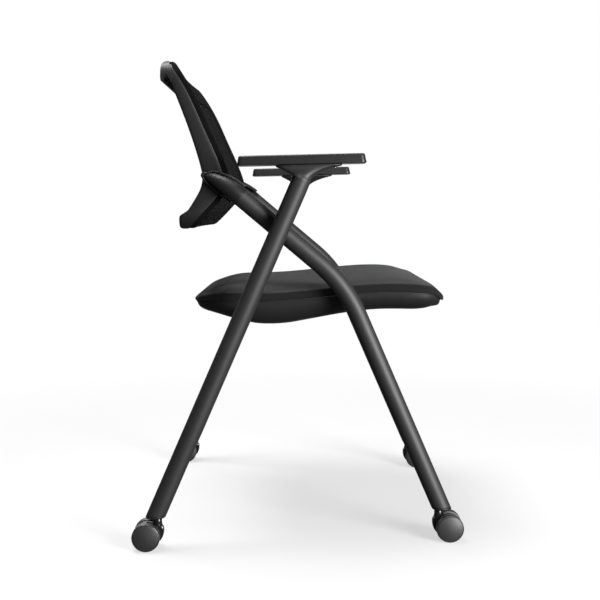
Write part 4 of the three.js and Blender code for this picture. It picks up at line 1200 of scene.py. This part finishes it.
# The bracket's lower and upper edges: distance up and inset.
FLARE_START_EDGE = [(-0.0002, 0.0012), (0.0001, 0.0005)]
PLATE_EDGE = [(0.0004, -0.0004), (0.0018, -0.0004), (0.0022, 0), (PLATE_THICKNESS, 0.0006)]


def arm_underside(x):
    return ARM_BOTTOM + (x - ARM_X) * math.tan(ARM_TILT)


def bracket_ring(left, right, y, half, power):
    reach = (right - left) / 2
    middle = (left + right) / 2
    middle.y = y
    return ring(middle, reach.normalized(), ACROSS, reach.length, half, TUBE_SEGMENTS, power)


def arm_bracket(side):
    """The bracket between a rear leg and its arm pad, flaring from round to a flat plate."""
    seam = rear_leg_at(REAR_LEG_TOP + FIT_GAP, side)
    plate_x = ARM_X + PLATE_OFFSET
    low_x, high_x = plate_x - PLATE_LENGTH / 2, plate_x + PLATE_LENGTH / 2
    cos, sin = math.cos(LEG_LEAN), math.sin(LEG_LEAN)
    last = len(FLARE_ROWS) - 1
    columns = [[(i / last, value) for i, value in enumerate(column)] for column in zip(*FLARE_ROWS)]

    def plate(x):
        return arm_underside(x) - FIT_GAP - PLATE_THICKNESS

    leg = Vector((sin, 0, cos))
    over_leg = Vector((cos, 0, -sin))
    rings = [ring(seam + leg * rise, over_leg, ACROSS, TUBE_RADIUS - inset, TUBE_RADIUS - inset,
                  TUBE_SEGMENTS)
             for rise, inset in FLARE_START_EDGE]
    for i in range(FLARE_STEPS + 1):
        rise, rear, front, power = (read_table(column, i / FLARE_STEPS) for column in columns)
        rear, front = max(rear, 0), max(front, 0)
        left = Vector((lerp(seam.x - TUBE_RADIUS * cos, low_x, rear), 0,
                       lerp(seam.z + TUBE_RADIUS * sin, plate(low_x), rear ** FLARE_BENDS[0])))
        right = Vector((lerp(seam.x + TUBE_RADIUS * cos, high_x, front), 0,
                        lerp(seam.z - TUBE_RADIUS * sin, plate(high_x), front ** FLARE_BENDS[1])))
        half = lerp(TUBE_RADIUS, PLATE_HALF_WIDTH, rise ** 2)
        rings.append(bracket_ring(left, right, lerp(seam.y, side * ARM_Y, rise), half, power))
    for lift, inset in PLATE_EDGE:
        left = Vector((low_x + inset, 0, plate(low_x) + lift))
        right = Vector((high_x - inset, 0, plate(high_x) + lift))
        rings.append(bracket_ring(left, right, side * ARM_Y, PLATE_HALF_WIDTH - inset, FLARE_ROWS[-1][3]))
    return loft(rings)


# An arm pad's side from its underside up: height in the pad and how far it is drawn in.
ARM_PAD_SIDE = [
    (0, 0.0016), (0.0003, 0.0007), (0.0009, 0.0002), (0.0018, 0), (0.006, 0.0009), (0.011, 0.0018),
    (0.0135, 0.0023), (0.0148, 0.0027), (0.0156, 0.0034), (0.0161, 0.0044), (0.0164, 0.0060),
    (0.0165, 0.0085)]
ARM_CORNER_STEPS = 10


def arm_pad(side):
    """An arm pad: a rounded bar with sides that lean in and soft top edges."""
    tilt = Matrix.Rotation(-ARM_TILT, 3, "Y")
    middle = Vector((ARM_X, side * ARM_Y, ARM_BOTTOM))
    rings = []
    for rise, inset in ARM_PAD_SIDE:
        half_length, half_width = ARM_LENGTH / 2 - inset, ARM_WIDTH / 2 - inset
        corner = max(ARM_CORNER - inset * ARM_CORNER_SHARE, ARM_CORNER_LEAST)
        points = []
        for k, (along, across) in enumerate(((1, 1), (-1, 1), (-1, -1), (1, -1))):
            for i in range(ARM_CORNER_STEPS + 1):
                angle = math.radians(90 * (k + i / ARM_CORNER_STEPS))
                place = Vector((along * (half_length - corner) + corner * math.cos(angle),
                                across * (half_width - corner) + corner * math.sin(angle), rise))
                points.append(middle + tilt @ place)
        rings.append(points)
    return loft(rings)


# Scene stage

# Lamps: name, place, what it points at, width and height, power in watts
LAMPS = [
    ("top_lamp", (-0.6, 0.1, 3.0), (0, 0, 0.4), (1.4, 1.4), 100),
    ("front_lamp", (2.1, -2.3, 0.95), (0, 0, 0.45), (1.3, 1.9), 190),
    ("rear_lamp", (-1.6, 2.6, 2.2), (0, 0, 0.5), (1.6, 1.6), 30),
]
WORLD_LIGHT = 0.06
ROOM_LIGHT = 0.06
BACKDROP_EDGE = (0.8, 1.04)
FLOOR_HALF = 30
FLOOR_COLOR = 0.27
FLOOR_LIFT = 0.60
FLOOR_FADE = (0.55, 1.7)


def seen_rays(tree):
    """1 for what the camera sees, straight or in a reflection, and 0 for light's other ways."""
    path = tree.nodes.new("ShaderNodeLightPath")
    total = path.outputs["Is Camera Ray"]
    for name in ("Is Glossy Ray", "Is Transmission Ray"):
        total = calculated(tree, "MAXIMUM", total, path.outputs[name])
    return total


def floor_material():
    """A pale floor that keeps the shadow near the chair and is plain white farther off."""
    material, tree, shader = new_material("floor", (FLOOR_COLOR,) * 3, 0.95, specular=0.0)
    seen = seen_rays(tree)
    lift = calculated(tree, "MULTIPLY", seen, FLOOR_LIFT)
    shader.inputs["Emission Color"].default_value = (1, 1, 1, 1)
    tree.links.new(lift, shader.inputs["Emission Strength"])
    white = add_node(tree, "ShaderNodeEmission", Strength=1.0)
    distance = add_node(tree, "ShaderNodeVectorMath", operation="LENGTH")
    tree.links.new(object_coordinates(tree), distance.inputs[0])
    far = remap(tree, distance.outputs["Value"], FLOOR_FADE, (0, 1), "SMOOTHSTEP")
    mix = tree.nodes.new("ShaderNodeMixShader")
    tree.links.new(calculated(tree, "MULTIPLY", far, seen), mix.inputs["Fac"])
    tree.links.new(shader.outputs["BSDF"], mix.inputs[1])
    tree.links.new(white.outputs["Emission"], mix.inputs[2])
    tree.links.new(mix.outputs["Shader"], tree.nodes["Material Output"].inputs["Surface"])
    return material


def studio_brightness(tree):
    """White to the camera. In reflections a white backdrop behind the chair and a dim room before it."""
    path = tree.nodes.new("ShaderNodeLightPath")
    split = tree.nodes.new("ShaderNodeSeparateXYZ")
    tree.links.new(tree.nodes.new("ShaderNodeTexCoord").outputs["Generated"], split.inputs["Vector"])
    room = remap(tree, split.outputs["Y"], BACKDROP_EDGE, (ROOM_LIGHT, 1), "SMOOTHSTEP")
    glossy, through = path.outputs["Is Glossy Ray"], path.outputs["Is Transmission Ray"]
    in_mirror = calculated(tree, "MULTIPLY", calculated(tree, "MAXIMUM", glossy, through), room)
    seen = calculated(tree, "MAXIMUM", path.outputs["Is Camera Ray"], in_mirror)
    return calculated(tree, "MAXIMUM", seen, WORLD_LIGHT)


def set_stage():
    """A white floor that keeps the chair's shadow, a white background and soft lamps."""
    floor_mesh = bmesh.new()
    bmesh.ops.create_grid(floor_mesh, x_segments=1, y_segments=1, size=FLOOR_HALF)
    data = bpy.data.meshes.new("floor")
    floor_mesh.to_mesh(data)
    floor_mesh.free()
    floor = bpy.data.objects.new("floor", data)
    bpy.context.scene.collection.objects.link(floor)
    floor.visible_glossy = False
    data.materials.append(floor_material())

    world = bpy.data.worlds.new("world")
    bpy.context.scene.world = world
    world.use_nodes = True
    tree = world.node_tree
    background = tree.nodes["Background"]
    background.inputs["Color"].default_value = (1, 1, 1, 1)
    tree.links.new(studio_brightness(tree), background.inputs["Strength"])

    for name, place, target, size, power in LAMPS:
        light = bpy.data.lights.new(name, "AREA")
        light.shape = "RECTANGLE"
        light.size, light.size_y = size
        light.energy = power
        lamp = bpy.data.objects.new(name, light)
        lamp.location = place
        toward = Vector(target) - Vector(place)
        lamp.rotation_mode = "QUATERNION"
        lamp.rotation_quaternion = toward.to_track_quat("-Z", "Y")
        bpy.context.scene.collection.objects.link(lamp)
    bpy.context.scene.view_settings.view_transform = "Standard"


set_camera()
set_stage()

slot_materials = {
    "black_steel": powder_coat(),
    "zinc_steel": zinc_plate(),
    "black_plastic": moulded_plastic("black_moulded_plastic", 0.011, 0.48),
    "gloss_black_plastic": gloss_plastic(),
    "arm_pad_plastic": moulded_plastic("arm_pad_skin", 0.015, 0.38, grain=1100, strength=0.4),
    "wheel_nylon": moulded_plastic("wheel_nylon", 0.017, 0.50, grain=2400, strength=0.12, specular=1.0),
    "bumper_rubber": rubber(),
    "back_mesh": back_mesh_fabric(),
    "seat_fabric": seat_fabric(),
    "seat_board": plywood(),
}
for part in frame["record"]["subparts"]:
    data = nodes[part["node"]].data
    data.materials.clear()
    data.materials.append(slot_materials[part["material_slot"]])

for side_name, side in SIDES:
    for name, mesh, slot, replaced in (
            ("rear_tube", rear_leg(side), "black_steel", "rear_leg"),
            ("front_tube", front_leg(side), "black_steel", "front_leg"),
            ("rear_foot_lip", foot_lip(rear_leg_at, side), "black_plastic", "rear_leg_plug"),
            ("front_foot_lip", foot_lip(front_leg_at, side), "black_plastic", "front_leg_plug"),
            ("arm_flare", arm_bracket(side), "black_steel", "arm_bracket"),
            ("arm_rest", arm_pad(side), "arm_pad_plastic", "arm_pad"),
            ("tube_end", back_connector(side), "black_plastic", "back_connector")):
        add_piece(f"{side_name}_{name}", mesh, "frame", slot, [f"{side_name}_{replaced}"])
    add_piece(f"{side_name}_back_rim", back_rim(side), "frame", "black_plastic")

for name, stem, toward in caster_places():
    axle = stem + Vector((-toward * CASTER_TRAIL, 0, WHEEL_RADIUS))
    outward = math.copysign(1, stem.y)
    add_piece(f"{name}_hood_web", caster_hood(axle, toward), f"{name}_caster", "gloss_black_plastic",
              [f"{name}_caster_hood"])
    add_piece(f"{name}_hood_neck", caster_neck(stem), f"{name}_caster", "gloss_black_plastic")
    for place, way in (("outer", outward), ("inner", -outward)):
        node = f"{name}_{place}_wheel"
        add_piece(f"{node}_disc", wheel(axle, way), node, "wheel_nylon", [node])

front_bar = box_middle("front_cross_bar")
for name, middle, leg_y, replaced in (
        ("seat_bar", PIVOT, rear_leg_at(PIVOT.z, 1).y, "seat_pivot_bar"),
        ("rest_bar", front_bar, FRONT_LEG_Y, "front_cross_bar")):
    bar = cross_bar(middle, leg_y - TUBE_RADIUS * BAR_REACH_SHARE)
    add_piece(name, bar, "frame", "black_steel", [replaced])
    for side_name, side in SIDES:
        edge = leg_y - math.sqrt(TUBE_RADIUS ** 2 - BAR_RADIUS ** 2)
        bead = weld(middle + ACROSS * side * edge)
        add_piece(f"{side_name}_{name}_weld", bead, "frame", "black_steel")
for side_name, side in SIDES:
    bumper = rubber_ring(front_bar + ACROSS * side * BUMPER_SPREAD)
    add_piece(f"{side_name}_rubber_ring", bumper, "frame", "bumper_rubber", [f"{side_name}_seat_bumper"])

add_piece("back_ring", back_frame_form(), "frame", "black_plastic", ["back_frame"])
add_piece("back_hand_grip", back_grip(), "frame", "black_plastic")
add_piece("net_carrier", mesh_carrier_form(), "frame", "back_mesh", ["mesh_carrier"], net_wrap())
net_mesh, net_size = back_net_form()
back_net = add_piece("back_net", net_mesh, "frame", "back_mesh", ["back_mesh"])

slack = CUSHION_SLACK
cushion = add_piece("seat_pad", cushion_form(slack), "seat", "seat_fabric", ["seat_cushion"])
fill_cushion(cushion)
finer = cushion.modifiers.new("finer", "SUBSURF")
finer.levels = finer.render_levels = 1
add_piece("seat_cover", seat_shell_form(), "seat", "black_plastic", ["seat_shell"])
